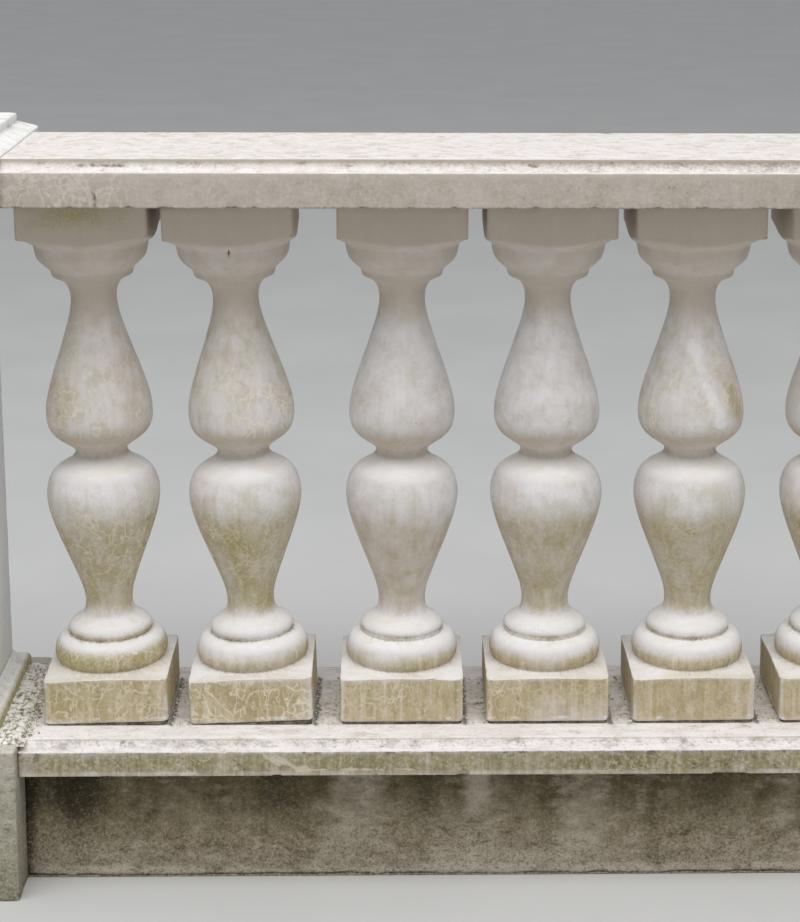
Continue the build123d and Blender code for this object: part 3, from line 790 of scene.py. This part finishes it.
CHIPS = ((-706, 4, 2.2), (-646, 4, 2.6), (-580, 6, 3), (-539, 9, 2.2), (-465, 6, 2.6), (-457, 3, 3.6), (-437, 5, 2.4),
         (-335, 3, 2.4), (-314, 4, 3.4), (-261, 4, 2), (-210, 3, 2.6), (-150, 3, 2), (-117, 3, 3), (-52, 5, 3.4), (20, 5, 2.6),
         (75, 3, 3), (140, 6, 2.6), (230, 4, 3), (330, 6, 2.6), (470, 5, 3.4), (610, 4, 2.6))


def rail(name, node, z0, face, quirk, height, material, top):
    pts, conv, conc = rail_section(face, quirk, height)
    if not top:
        table = finer(np.column_stack([pts, conv, conc]), lambda q: q[0] < 1 - RAIL_HALF and 1 < q[1] < face - 0.5, 3)
        pts, conv, conc = table[:, :2], table[:, 2], table[:, 3]
    pts = pts + np.array([0.0, z0])
    V = sweep(-RUN, RUN, pts, 4.2 if top else 3.2)
    seed = 900 if top else 950
    n = grid_normals(V)
    arris = np.broadcast_to(conv[None, :], V.shape[:2]).copy()
    x, y, z = V[..., 0], V[..., 1], V[..., 2]
    lower = np.exp(-((z - z0) / 2.6) ** 2) * (np.abs(y) > RAIL_HALF - 6)
    lower_ = np.clip(lower, 0, 1)
    upper = np.exp(-((z - z0 - face) / 2.6) ** 2) * (np.abs(y) > RAIL_HALF - 6)
    rough_ = 0.18 if top else 0.6
    dep = wear(V, n, arris * (0.30 if top else 0.45) * (1 - 0.7 * lower_), seed, grain=0.22, chip=1.8, chips=0.40, round_off=0.15)
    ragged = fbm(V, 22.0, 3, seed + 61)
    dep = dep + lower * rough_ * 2.2 * step(0.30, 0.6, ragged) + upper * rough_ * 1.2 * step(0.25, 0.6, fbm(V, 17.0, 3, seed + 63))
    spot = np.zeros_like(x)
    if top:
        # chips out of the lower arris of the front face, the upright notch and the marks in the hollow, each darkened
        # with painted shade
        for cx, w, d in CHIPS:
            q = np.exp(-((x - cx) / (0.55 * w)) ** 2 - ((z - z0) / (1.2 + d * 0.4)) ** 2) * (y < -RAIL_HALF + 8)
            dep = dep + 0.75 * d * q
            spot = spot + 0.7 * q
        q = np.exp(-((x + 618 + (z - z0 - 12) * 0.12) / 2.2) ** 2) * step(1, 4, z - z0) * step(22, 14, z - z0) * (y < -RAIL_HALF + 4)
        dep = dep + 2.6 * q
        spot = spot + 0.9 * q
        for cx, w in ((-635, 5), (-621, 4), (-607, 7), (-592, 8), (-330, 4), (-120, 6), (210, 5), (520, 6)):
            q = np.exp(-((x - cx) / w) ** 2 - ((z - z0 - 46.5) / 1.0) ** 2) * (y < -RAIL_HALF + 20)
            dep = dep + 0.8 * q
            spot = spot + 0.62 * q
    else:
        # the front edge of the panel has crumbled a little here and there
        crest = np.exp(-((z - z0 - height) / 2.5) ** 2) * (np.abs(np.abs(y) - PANEL_HALF) < 4)
        dep = dep + 1.4 * crest * step(0.1, 0.5, fbm(V, 30.0, 3, seed + 67))
    W = V - n * dep[..., None]
    side = (np.abs(n[..., 1]) > 0.75).astype(float) * step(face + 2, face - 2, z - z0)
    hollowed = (np.abs(y) > PANEL_HALF - 1) * step(face - 1, face + 1, z - z0)
    frontal = (y < 0).astype(float)
    big = fbm(V, 160.0, 3, seed + 7)
    runs = vnoise(V * np.array([1, 1, 0.1]), 15.0, seed + 77)
    quirk_ = np.broadcast_to(conc[None, :], x.shape) * (z > z0 + 20)
    under = step(-0.5, -0.9, n[..., 2])
    grit = np.zeros_like(x)
    flake = np.zeros_like(x)
    h = z - z0
    if top:
        left = step(-560, -640, x)
        # undersides browner and darker: dirt, and painted shade
        tan = side * (0.06 + 0.30 * step(0.15, 0.6, big) + 0.20 * left * step(30, 8, h)) + 0.35 * under
        soil_and_shade = side * (0.35 + 0.25 * big) + hollowed * (0.10 + 0.45 * step(-620, 300, x) + 0.45 * step(face + 3, face + 9, h)) + 0.6 * under
        green = side * 0.25 * step(0.25, 0.7, fbm(V, 120.0, 2, seed + 3))
        craze = side * (0.14 + 0.80 * left + 0.20 * step(-430, -520, x) + 0.2 * big)
        pale = 0.22 * arris * (h > 4) + 0.08 * lower + 0.30 * hollowed * step(face + 7, face + 2, h)
        # painted shadow in the quirk, a painted shadow line along the bottom of the front face, painted shade in the
        # chips and at the ends against the piers, with random dark dirt in the hollow
        dark = 0.50 * quirk_ + hollowed * 0.16 * step(-500, 300, x) + 0.55 * side * step(2.2, 0.6, h) + spot + 0.5 * side * step(RUN - 8, RUN - 1, np.abs(x)) + 0.12 * hollowed * step(0.4, 0.7, vnoise(V * np.array([0.4, 1, 1]), 7.0, seed + 5))
    else:
        froth = 0.5 + 0.5 * fbm(V, 11.0, 3, seed + 93)
        # undersides browner: dirt, and painted shade
        tan = side * (0.84 + 0.26 * runs + 0.2 * big) * (1 - 0.9 * step(-690, -722, x)) + 0.5 * under + 0.34 * hollowed * step(0.35, 0.65, froth)
        soil_and_shade = 0.5 * side + 0.5 * under + 0.30 * hollowed * step(face + 1, face + 7, h)
        green = side * (0.16 + 0.35 * step(-0.1, 0.6, big) + 0.16 * step(-420, 0, x)) * step(0, 12, h) + hollowed * 0.30 * step(-0.1, 0.5, fbm(V, 26.0, 3, seed + 33))
        craze = side * (0.38 + 0.3 * big) + 0.25 * hollowed
        stray = fbm(V, 11.0, 3, seed + 87)
        slant = 27 - (x + 437) * 0.35 + 7.5 * stray
        flake = side * frontal * (0.45 * np.exp(-((x + 490) / 26) ** 2) * step(8, 20, h) + (0.98 + 0.35 * stray) * np.exp(-((x + 408) / 36) ** 4 - ((h - slant) / 5.0) ** 2) + (0.76 + 0.6 * stray) * np.exp(-((h - 7.5 - 4.0 * stray) / 2.4) ** 2) * step(-402, -380, x) * step(-235, -262, x) + 0.45 * np.exp(-((x + 176) / 28) ** 2) * step(20, 8, h))
        flake = flake + side * 0.40 * step(0.35, 0.75, fbm(V, 70.0, 2, seed + 91))
        pale = 0.25 * arris + 0.50 * np.exp(-((h - 4.0) / 1.7) ** 2) * side * (0.1 + froth) * step(-0.3, 0.3, vnoise(V, 45.0, seed + 95)) + (0.85 * froth) * np.exp(-((h - face - 1.0) / 3.2) ** 2) * (np.abs(y) > RAIL_HALF - 9)
        pale = pale + 0.24 * hollowed * froth
        # painted shadow in the quirk, painted shade on the undersides and at the ends against the piers, with random
        # dark dirt
        dark = 0.70 * quirk_ + 0.26 * hollowed * step(0.1, 0.6, fbm(V, 9.0, 2, seed + 35)) + 0.35 * side * (vnoise(V, 9.0, seed + 39) > 0.62) + 0.34 * side * step(face - 7, face - 2, h) + 0.16 * side * step(-380, 100, x)
        dark = dark + 0.4 * under + 0.6 * side * step(RUN - 5, RUN - 1, np.abs(x)) + 0.25 * lower * step(0.2, 0.6, ragged)
        flat = step(0.8, 0.95, n[..., 2])
        gap, foot = np.ones_like(x), np.zeros_like(x)
        for c in ROW:
            gap = gap * step(70, 77, np.abs(x - c))
            outside = np.maximum(np.abs(x - c) - 75, np.abs(y - ROW_Y) - 75)
            foot = np.maximum(foot, np.exp(-np.abs(outside - 2.0) / 6.0) * (np.abs(x - c) - 75 > np.abs(y - ROW_Y) - 75) + 0.35 * np.exp(-np.abs(outside - 1.0) / 2.5))
        row = step(80, 66, np.abs(y - ROW_Y + 2))
        # painted shadow lines on the rail top along the feet of the blocks, stronger beside each block's right side
        line = np.zeros_like(x)
        for c in ROW:
            beside = step(78, 73, np.abs(y - ROW_Y)) * flat
            line = line + beside * (np.exp(-((x - c - 77.5) / 3.6) ** 2) + 0.45 * np.exp(-((x - c + 75.5) / 2.0) ** 2))
        dark = dark + 1.10 * line
        grit = flat * (gap * row * (0.26 + 0.22 * vnoise(V, 24.0, seed + 47)) + 0.62 * foot * (0.75 + 0.4 * vnoise(V, 18.0, seed + 48)))
        grit = grit * (1.0 - np.clip(1.2 * line, 0, 1)) + flat * 0.12 + 0.55 * np.clip(n[..., 2] + 0.3, 0, 1) * step(RUN - 16, RUN - 6, np.abs(x))
    W2 = close_ends(W)
    ext = lambda v: np.concatenate([np.repeat(v[:1], 2, 0), v, np.repeat(v[-1:], 2, 0)])
    make_piece(name, W2, material, node,
               {k: ext(v) for k, v in dict(tan=tan, soil_and_shade=soil_and_shade, green=green, craze=craze, pale=pale, dark=dark, flake=flake, grit=grit).items()})


rail("worn_top_rail", "top_rail", Z_SOFFIT, 41.2, 4.0, TOP_RAIL_H, top_rail_mat, True)
rail("worn_bottom_rail", "bottom_rail", WALL_H, 31.4, 2.4, BOTTOM_RAIL_H, bottom_rail_mat, False)


# ------------------------------------------------------------------ dwarf wall
def dwarf_wall():
    h, b = WALL_H, 91.0
    segs = [("line", (b, 0.0)), ("line", (b, h)), ("line", (-b, h)), ("line", (-b, 0.0)), ("line", (0.0, 0.0))]
    pts, conv, conc = section((0.0, 0.0), segs, 5.5, bend=20.0, worn=1.0, closed=True)
    V = sweep(-RUN, RUN, pts, 5.0)
    n = grid_normals(V)
    x, y, z = V[..., 0], V[..., 1], V[..., 2]
    side = (np.abs(n[..., 1]) > 0.8).astype(float)
    dep = 0.25 + side * (1.1 * (0.6 + fbm(V, 26.0, 4, 1201)) + 1.1 * step(0.25, 0.8, vnoise(V, 9.0, 1207)) + 1.6 * (0.5 + 0.5 * fbm(V, 190.0, 2, 1209)))
    foot = np.exp(-(z / (5.0 + 5.0 * (0.5 + 0.5 * fbm(V * np.array([1, 1, 0]), 40.0, 3, 1213)))) ** 2)
    dep = dep + side * foot * (1.4 + 1.8 * fbm(V, 24.0, 3, 1215))
    W = V - n * np.maximum(dep, 0)[..., None]
    W[..., 2] = np.maximum(W[..., 2], 0.0)
    big = fbm(V, 150.0, 3, 1221)
    columns = vnoise(V * np.array([1, 1, 0.15]), 60.0, 1231)
    height = np.clip(z / h + 0.22 * big, 0, 1)
    # washed grey columns and olive ones between them, as they run down the front
    grey, olive = np.zeros_like(x), np.zeros_like(x)
    bent = x + 9.0 * fbm(V * np.array([1, 1, 1.0]), 60.0, 3, 1261)
    for cx, w, low, s in ((-322, 42, 20, 1.0), (-178, 15, 60, 0.9), (-45, 28, 10, 0.9), (30, 12, 60, 0.5), (198, 22, 25, 0.7), (-600, 40, 0, 0.35), (330, 40, 20, 0.8), (520, 25, 40, 0.8)):
        grey = grey + s * np.exp(-np.abs((bent - cx) / w) ** 3) * step(low, low + 40, z)
    for cx, w, low, s in ((-420, 42, 55, 0.8), (-240, 34, 45, 0.9), (-130, 22, 70, 0.7), (5, 16, 70, 0.8), (110, 55, 50, 1.0), (-660, 50, 20, 0.9), (420, 45, 45, 0.8), (610, 50, 40, 0.9)):
        olive = olive + s * np.exp(-np.abs((bent - cx) / w) ** 3) * step(low - 15, low + 45, z)
    # painted shadow of the rail along the top of the face, painted shade along the foot and in the corners at the
    # piers; olive columns darker and washed grey columns paler are stains
    dark = side * (0.62 * step(h - 26, h - 2, z) + 0.75 * np.exp(-(z / 2.6) ** 2) + 0.6 * step(RUN - 20, RUN - 3, np.abs(x)))
    dark = dark + side * (0.42 * olive - 0.45 * grey * (z > 40) + 0.22 * step(45, 120, z) * step(0.0, 0.6, columns) + 0.30 * step(-560, -680, x) * step(50, 110, z))
    crust = np.exp(-((z - 8.0 - 4.0 * fbm(V * np.array([1, 1, 0]), 45.0, 3, 1251)) / 4.5) ** 2)
    pale = side * (0.95 * crust * step(-0.6, 0.3, fbm(V, 16.0, 2, 1253)) + 0.22 * step(70, 15, z) + 0.46 * grey + 0.20 * step(0.15, 0.7, vnoise(V * np.array([1, 1, 0.2]), 75.0, 1233)) + 0.12 * step(0.1, -0.5, columns))
    green = side * (0.30 * olive + 0.15 * step(0.2, 0.7, fbm(V, 110.0, 2, 1241))) + 0.3 * np.clip(n[..., 1], 0, 1) * (0.4 + big)
    W = close_ends(W)
    ext = lambda v: np.concatenate([np.repeat(v[:1], 2, 0), v, np.repeat(v[-1:], 2, 0)])
    make_piece("worn_dwarf_wall", W, wall_mat, "dwarf_wall",
               {k: ext(v) for k, v in dict(height=height, dark=dark, pale=pale, green=green).items()})


dwarf_wall()


# ------------------------------------------------------------------ piers
def stacked(profile, conv, conc, a_of, b_of, rc, cx, z0, shear=None, caps=(0.12, 0.3, 0.5, 0.68, 0.82, 0.92, 0.98), side=SIDE):
    """Rings of a rounded rectangle whose half sizes follow the profile, with flat ends."""
    rings, ar, co, nr, sc = [], [], [], [], []
    rows = [(profile[0], 0.0, 0.0, s) for s in caps] + [(p, c, k, 1.0) for p, c, k in zip(profile, conv, conc)] + [(profile[-1], 0.0, 0.0, s) for s in caps[::-1]]
    for p, c, k, s in rows:
        a, b = a_of(p[0]), b_of(p[0])
        flat, near = outline(a, b, rc, side)
        dx = shear(p[1]) if shear else 0.0
        rings.append(np.stack([cx + dx + flat[:, 0] * s, flat[:, 1] * s, np.full(len(flat), z0 + p[1])], 1))
        ar.append(np.full(len(flat), c))
        co.append(np.full(len(flat), k))
        nr.append(near if s == 1.0 else np.full(len(flat), 99.0))
        sc.append(np.full(len(flat), s))
    return np.array(rings), np.array(ar), np.array(co), np.array(nr), np.array(sc)


def pier(side_name, sgn):
    cx = sgn * PIER_X
    seed = 2000 if sgn < 0 else 3000
    inner = lambda x: -sgn * (x - cx)      # distance from the pier's middle towards the bay
    # plinth
    prof, cv, cc = section((160.0, 0.0), [("line", (160.0, Z_SEAT - 2.0)), ("line", (158.0, Z_SEAT))], 5.5, bend=20, worn=1.0)
    V, ar, co, near, sc = stacked(prof, cv, cc, lambda h: PLINTH_X - (160.0 - h), lambda h: PLINTH_Y - (160.0 - h), 4.0, cx, 0.0)
    n = grid_normals(V)
    corner = np.exp(-(near / 5.0) ** 2)
    arris = np.clip(np.maximum(corner * 0.8, ar), 0, 1)
    dep = wear(V, n, arris, seed, grain=0.45, chip=2.6, chips=0.38)
    W = V - n * dep[..., None]
    W[..., 2] = np.clip(W[..., 2], 0, Z_SEAT)
    x, y, z = V[..., 0], V[..., 1], V[..., 2]
    big = fbm(V, 140.0, 3, seed + 3)
    wall = (np.abs(n[..., 2]) < 0.5).astype(float)
    topf = (n[..., 2] > 0.5).astype(float)
    height = np.clip(0.30 + 0.5 * z / Z_SEAT + 0.3 * big, 0, 1)
    touch = np.exp(-((inner(x) - PLINTH_X) / 6.0) ** 2) * wall
    # painted shade along the foot, in the corner where the wall and rail meet the plinth and round the foot of the base
    # moulding, with dark streaks of dirt; the top face paler, partly painted light
    dark = 0.35 * np.exp(-(z / 10.0) ** 2) * wall + 0.35 * touch * step(140, 110, np.abs(y)) + 0.25 * wall * step(0.2, 0.7, vnoise(V * np.array([1, 1, 0.15]), 40.0, seed + 5))
    dark = dark + 0.30 * topf * bump_at(np.maximum(np.abs(x - cx), np.abs(y)), 134, 4)
    green = wall * (0.30 * step(90, 20, z) * (0.6 + big) + 0.12) + topf * 0.15
    pale = 0.45 * arris + 0.85 * topf
    make_piece(f"worn_{side_name}_pier_plinth", W, plinth_mat, f"{side_name}_pier_plinth",
               dict(height=height, dark=dark, pale=pale, green=green))
    # base moulding
    PB = BASE_HALF
    prof, cv, cc = section((PB, 0.0), [("line", (PB, 9.0)), ("arc", (PB - 1.8, 13.2), (PB - 6.0, 15.0)), ("line", (PB - 9.0, 15.0)),
                                      ("arc", (DIE_HALF + 6.5, 17.6), (DIE_HALF + 1.5, BASE_H))], 2.2, bend=14, worn=0.8)
    V, ar, co, near, sc = stacked(prof, cv, cc, lambda h: h, lambda h: h, 3.5, cx, Z_SEAT)
    n = grid_normals(V)
    corner = np.exp(-(near / 5.0) ** 2)
    arris = np.clip(np.maximum(corner * 0.7, ar * 0.7), 0, 1)
    dep = wear(V, n, arris, seed + 100, grain=0.25, chip=1.8, chips=0.36, round_off=0.3)
    W = V - n * dep[..., None]
    x, y, z = V[..., 0], V[..., 1], V[..., 2]
    low = step(15.4, 14.2, z - Z_SEAT)
    ledge = (n[..., 2] > 0.3) * step(14.6, 15.4, z - Z_SEAT)
    # painted shade in the hollows of the moulding and along its foot
    make_piece(f"worn_{side_name}_pier_base", W, pier_mat, f"{side_name}_pier_base",
               dict(tan=0.80 * low + 0.62 * ledge * step(90, -60, y) * (0.8 + 0.4 * vnoise(V, 30.0, seed + 8)), soil_and_shade=0.2 * low,
                    green=low * (0.50 + 0.3 * step(0.0, 0.6, fbm(V, 60.0, 2, seed + 7))), craze=0.35 * low,
                    pale=0.30 * arris * (1 - low) + 0.6 * ledge * step(-80, 90, y), dark=0.35 * co + 0.35 * np.exp(-((z - Z_SEAT) / 2.5) ** 2)))
    # die
    hgt = Z_CAP - Z_DIE
    shift = LEFT_DIE_SHIFT if sgn < 0 else 0.0
    prof, cv, cc = section((DIE_HALF, 0.0), [("line", (DIE_HALF, hgt))], 8.0, bend=20, worn=0.5)
    V, ar, co, near, sc = stacked(prof, cv, cc, lambda h: h, lambda h: h, 3.0, cx, Z_DIE, shear=lambda z: shift * z / hgt, caps=(0.4, 0.8, 0.97))
    n = grid_normals(V)
    corner = np.exp(-(near / 5.0) ** 2)
    dep = wear(V, n, corner * 0.8, seed + 200, grain=0.35, chip=2.4, chips=0.40)
    W = V - n * dep[..., None]
    x, y, z = V[..., 0], V[..., 1], V[..., 2]
    big = fbm(V, 150.0, 3, seed + 9)
    runs = vnoise(V * np.array([1, 1, 0.1]), 24.0, seed + 11)
    # the left die's side facing the bay is painted paler, with less stain: painted light from that side
    stain_except_lit_side = 1.0 - 0.75 * step(0.5, 0.9, n[..., 0]) * (sgn < 0)
    # darker at the foot of the die and just under the cap with painted shade; the brown-grey film under the cap is dirt
    # and painted shade
    make_piece(f"worn_{side_name}_pier_die", W, pier_mat, f"{side_name}_pier_die",
               dict(tan=stain_except_lit_side * 0.22 * step(0.1, 0.7, runs) + 0.40 * np.exp(-((z - Z_DIE) / 40.0) ** 2),
                    soil_and_shade=stain_except_lit_side * (0.30 * step(Z_CAP - 90, Z_CAP - 10, z) + 0.2 * step(0.0, 0.6, runs)),
                    green=0.25 * np.exp(-((z - Z_DIE) / 70.0) ** 2) * (0.5 + big) + 0.12 * step(0.3, 0.8, big),
                    craze=0.22 + 0.2 * big, pale=0.35 * corner + 0.15 + 0.6 * (1.0 - stain_except_lit_side), dark=0.30 * np.exp(-((z - Z_DIE) / 4.0) ** 2) + 0.25 * np.exp(-((z - Z_CAP) / 5.0) ** 2)))
    # cap
    CB, CL = CAP_BED, CAP_LIP
    D = DIE_HALF
    prof, cv, cc = section((D + 10.0, 0.0), [("line", (D + 10.0, 3.0)), ("arc", (D + 20.5, 7.0), (D + 25.0, CB)), ("line", (CAP_HALF - 1.6, CB)),
                                            ("line", (CAP_HALF, CB + 1.6)), ("line", (CAP_HALF, CB + CL - 1.6)), ("line", (CAP_HALF - 1.6, CB + CL)),
                                            ("line", (CAP_PANEL, CB + CL + CAP_WASH)), ("line", (CAP_PANEL, CAP_H - 1.5)), ("line", (CAP_PANEL - 1.5, CAP_H))],
                           3.6, bend=14, worn=0.9)
    V, ar, co, near, sc = stacked(prof, cv, cc, lambda h: h, lambda h: h, 3.5, cx, Z_CAP, caps=(0.1, 0.22, 0.36, 0.5, 0.62, 0.73, 0.83, 0.91, 0.97))
    n = grid_normals(V)
    corner = np.exp(-(near / 6.0) ** 2)
    arris = np.clip(np.maximum(corner * 0.6, ar * 0.6), 0, 1)
    dep = wear(V, n, arris, seed + 300, grain=0.3, chip=2.2, chips=0.38, round_off=0.3)
    W = V - n * dep[..., None]
    x, y, z = V[..., 0], V[..., 1], V[..., 2]
    lip = (np.abs(n[..., 2]) < 0.5) * step(CB - 1, CB + 2, z - Z_CAP) * step(CB + CL + 1, CB + CL - 2, z - Z_CAP)
    big = fbm(V, 120.0, 3, seed + 13)
    low = step(CB, CB - 6, z - Z_CAP)
    # painted shade in the hollows and on the undersides, dirt and painted shade under the lip, upward faces paler,
    # partly painted light
    make_piece(f"worn_{side_name}_pier_cap", W, pier_mat, f"{side_name}_pier_cap",
               dict(tan=lip * (0.15 + 0.3 * step(0.1, 0.6, big)) + 0.25 * low, soil_and_shade=0.35 * lip + 0.7 * low, green=lip * 0.2 * step(0.2, 0.7, big) + 0.1 * low,
                    craze=lip * 0.45, pale=0.4 * arris + 0.55 * (n[..., 2] > 0.4), dark=0.35 * co * (z > Z_CAP + CB) + 0.25 * (n[..., 2] < -0.5)))


pier("left", -1.0)
pier("right", 1.0)


# ------------------------------------------------------------------ old mortar where the rail meets the piers
def joint_ridge(side_name, sgn):
    """A crumbly ridge of mortar and moss on the ledge between the base moulding and the end of the rail."""
    xs = np.arange(RUN - 8.0, PIER_X - BASE_HALF + 1.0, 1.15)
    ys = np.arange(-130.0, 130.1, 1.15)
    Y, X = np.meshgrid(ys, xs, indexing="ij")
    P = np.stack([X, Y, np.full(X.shape, 40.0)], -1) + (0.0 if sgn < 0 else 3000.0)
    big = np.abs(vnoise(P, 5.2, 4101))
    small = np.abs(vnoise(P, 2.7, 4102))
    lumps = 0.5 + 0.5 * fbm(P, 24.0, 2, 4103)
    wander = 4.0 * vnoise(P * np.array([0.0, 1.0, 0.0]), 17.0, 4104)
    across = step(RUN - 5.0 + wander, RUN + 4.0 + wander, X)
    reach = np.where(X < RUN + 2.0, 108.0, 124.0) + 3.0 * vnoise(P, 9.0, 4106)
    ends = step(6.0, -8.0, np.abs(Y) - reach)
    h = across * ends * (1.6 + 2.6 * lumps + 3.4 * big + 1.8 * small)
    top = np.stack([sgn * X, Y, Z_SEAT - 1.0 + h], -1)
    under = np.stack([sgn * X[:, [-1, 20, 10, 0]], Y[:, [0, 0, 0, 0]], np.full((len(ys), 4), Z_SEAT - 1.8)], -1)
    # pits between the lumps darker with painted shade, high lumps paler with painted light, moss darker along the joint
    pit = step(0.22, 0.03, big) * 0.60 + step(0.14, 0.02, small) * 0.25
    moss = bump_at(X, RUN + 9.0, 7.0) * step(-0.3, 0.5, vnoise(P, 12.0, 4105))
    pad = lambda a, v=0.3: np.concatenate([a, np.full((len(ys), 4), v)], 1)
    make_piece(f"joint_mortar_{side_name}", np.concatenate([top, under], 1), ridge_mat, None,
               dict(dark=pad(pit + 0.32 * moss), green=pad(0.20 * lumps + 0.45 * moss), pale=pad(step(0.2, 0.6, big) * (1 - 0.4 * moss))))


joint_ridge("left", -1.0)
joint_ridge("right", 1.0)


# ------------------------------------------------------------------ loose grit between the blocks
def loose_grit():
    t = (1 + 5 ** 0.5) / 2
    ico = np.array([(-1, t, 0), (1, t, 0), (-1, -t, 0), (1, -t, 0), (0, -1, t), (0, 1, t), (0, -1, -t), (0, 1, -t), (t, 0, -1), (t, 0, 1), (-t, 0, -1), (-t, 0, 1)], float)
    ico /= np.linalg.norm(ico[0])
    faces = np.array([(0, 11, 5), (0, 5, 1), (0, 1, 7), (0, 7, 10), (0, 10, 11), (1, 5, 9), (5, 11, 4), (11, 10, 2), (10, 7, 6), (7, 1, 8),
                      (3, 9, 4), (3, 4, 2), (3, 2, 6), (3, 6, 8), (3, 8, 9), (4, 9, 5), (2, 4, 11), (6, 2, 10), (8, 6, 7), (9, 8, 1)])
    rng = np.random.RandomState(7)
    spots = []
    for k in range(7):      # a thin scatter in each gap, thicker along the feet of the blocks
        a, b = ROW[k] + 76.5, ROW[k + 1] - 76.5
        for _ in range(150):
            u = rng.rand()
            x = a + 7 * rng.rand() ** 2 if u < 0.45 else b - 5 * rng.rand() ** 2 if u < 0.65 else rng.uniform(a, b)
            spots.append((x, ROW_Y + rng.uniform(-73, 76), 0.7 + 1.9 * rng.rand() ** 3, 0.0))
    for sgn in (-1, 1):     # a crumbly fillet of old mortar and moss along the joint with each pier
        for _ in range(260):
            y = rng.uniform(-108, 110)
            s = 0.9 + 2.4 * rng.rand() ** 1.6
            u = rng.rand()
            spots.append((sgn * (RUN - s - 11 * u * u), y, s, 3.0 * (1 - u) * rng.rand()))
        for _ in range(60):
            spots.append((sgn * rng.uniform(RUN - 22, RUN - 4), rng.uniform(-108, 90), 0.8 + 1.5 * rng.rand() ** 3, 0.0))
    vs, fs = [], []
    for k, (x, y, s, lift) in enumerate(spots):
        shape = ico * (1 + 0.35 * (rng.rand(12, 1) - 0.5)) * np.array([s, s * rng.uniform(0.6, 1.1), s * rng.uniform(0.5, 0.85)])
        c, sn = math.cos(k * 2.4), math.sin(k * 2.4)
        shape = shape @ np.array([(c, sn, 0), (-sn, c, 0), (0, 0, 1)])
        fs.append(faces + 12 * k)
        vs.append(shape + np.array([x, y, Z_SEAT - 0.6 + 0.25 * s + lift]))
    mesh_object("joint_grit", np.concatenate(vs), np.zeros((0, 4), int), np.concatenate(fs), grit_mat, None, {})


loose_grit()

# ------------------------------------------------------------------ camera
LENS_PX, SHIFT_X, SHIFT_Y = 2099.82, -0.045, -0.23
YAW, PITCH, ROLL = math.radians(1.289), math.radians(-10.871), math.radians(0.281)
CAM_POS = Vector((-0.27803, -2.48310, 1.24451))


def make_camera():
    data = bpy.data.cameras.new("photo_camera")
    cam = bpy.data.objects.new("photo_camera", data)
    scene.collection.objects.link(cam)
    data.sensor_fit = "AUTO"
    data.sensor_width = 36.0
    data.lens = LENS_PX * 36.0 / 922.0
    data.shift_x, data.shift_y = SHIFT_X, SHIFT_Y
    fwd = Vector((math.sin(YAW), math.cos(YAW), 0.0))
    right = Vector((math.cos(YAW), -math.sin(YAW), 0.0))
    up = Vector((0.0, 0.0, 1.0))
    f2 = fwd * math.cos(PITCH) + up * math.sin(PITCH)
    u2 = up * math.cos(PITCH) - fwd * math.sin(PITCH)
    r3 = right * math.cos(ROLL) + u2 * math.sin(ROLL)
    u3 = u2 * math.cos(ROLL) - right * math.sin(ROLL)
    cam.matrix_world = Matrix((
        (r3.x, u3.x, -f2.x, CAM_POS.x),
        (r3.y, u3.y, -f2.y, CAM_POS.y),
        (r3.z, u3.z, -f2.z, CAM_POS.z),
        (0.0, 0.0, 0.0, 1.0)))
    scene.camera = cam
    return cam


make_camera()

# ------------------------------------------------------------------ light and floor
scene.view_settings.view_transform = "Standard"
scene.view_settings.look = "None"
scene.view_settings.exposure = 0.0
world = bpy.data.worlds.new("studio")
scene.world = world
world.use_nodes = True
bg = world.node_tree.nodes["Background"]
bg.inputs["Color"].default_value = (0.95, 0.97, 1.0, 1.0)
bg.inputs["Strength"].default_value = 0.45


def area_light(name, pos, target, wide, deep, energy, color=(1.0, 1.0, 1.0)):
    d = bpy.data.lights.new(name, "AREA")
    d.shape = "RECTANGLE"
    d.size = wide
    d.size_y = deep
    d.energy = energy
    d.color = color
    o = bpy.data.objects.new(name, d)
    scene.collection.objects.link(o)
    o.location = pos
    o.rotation_mode = "QUATERNION"
    o.rotation_quaternion = (Vector(target) - Vector(pos)).to_track_quat("-Z", "Y")
    return o


area_light("sky_panel", (-0.5, -2.0, 5.0), (0.0, 0.0, 0.45), 7.0, 2.8, 230.0)

fm = Mat("studio_floor")
fn = fm.noise(3.0, 3.0, 0.5)
floor_mat = fm.finish(fm.mix(fm.ramp(fn, 0.3, 0.7), (0.60, 0.60, 0.59, 1), (0.63, 0.63, 0.62, 1)), fm.ramp(fn, 0.3, 0.7, 0.85, 0.95), fn, 0.05)
me = bpy.data.meshes.new("studio_floor")
me.from_pydata([(-16, -16, 0), (16, -16, 0), (16, 16, 0), (-16, 16, 0)], [], [(0, 1, 2, 3)])
floor = bpy.data.objects.new("studio_floor", me)
me.materials.append(floor_mat)
scene.collection.objects.link(floor)
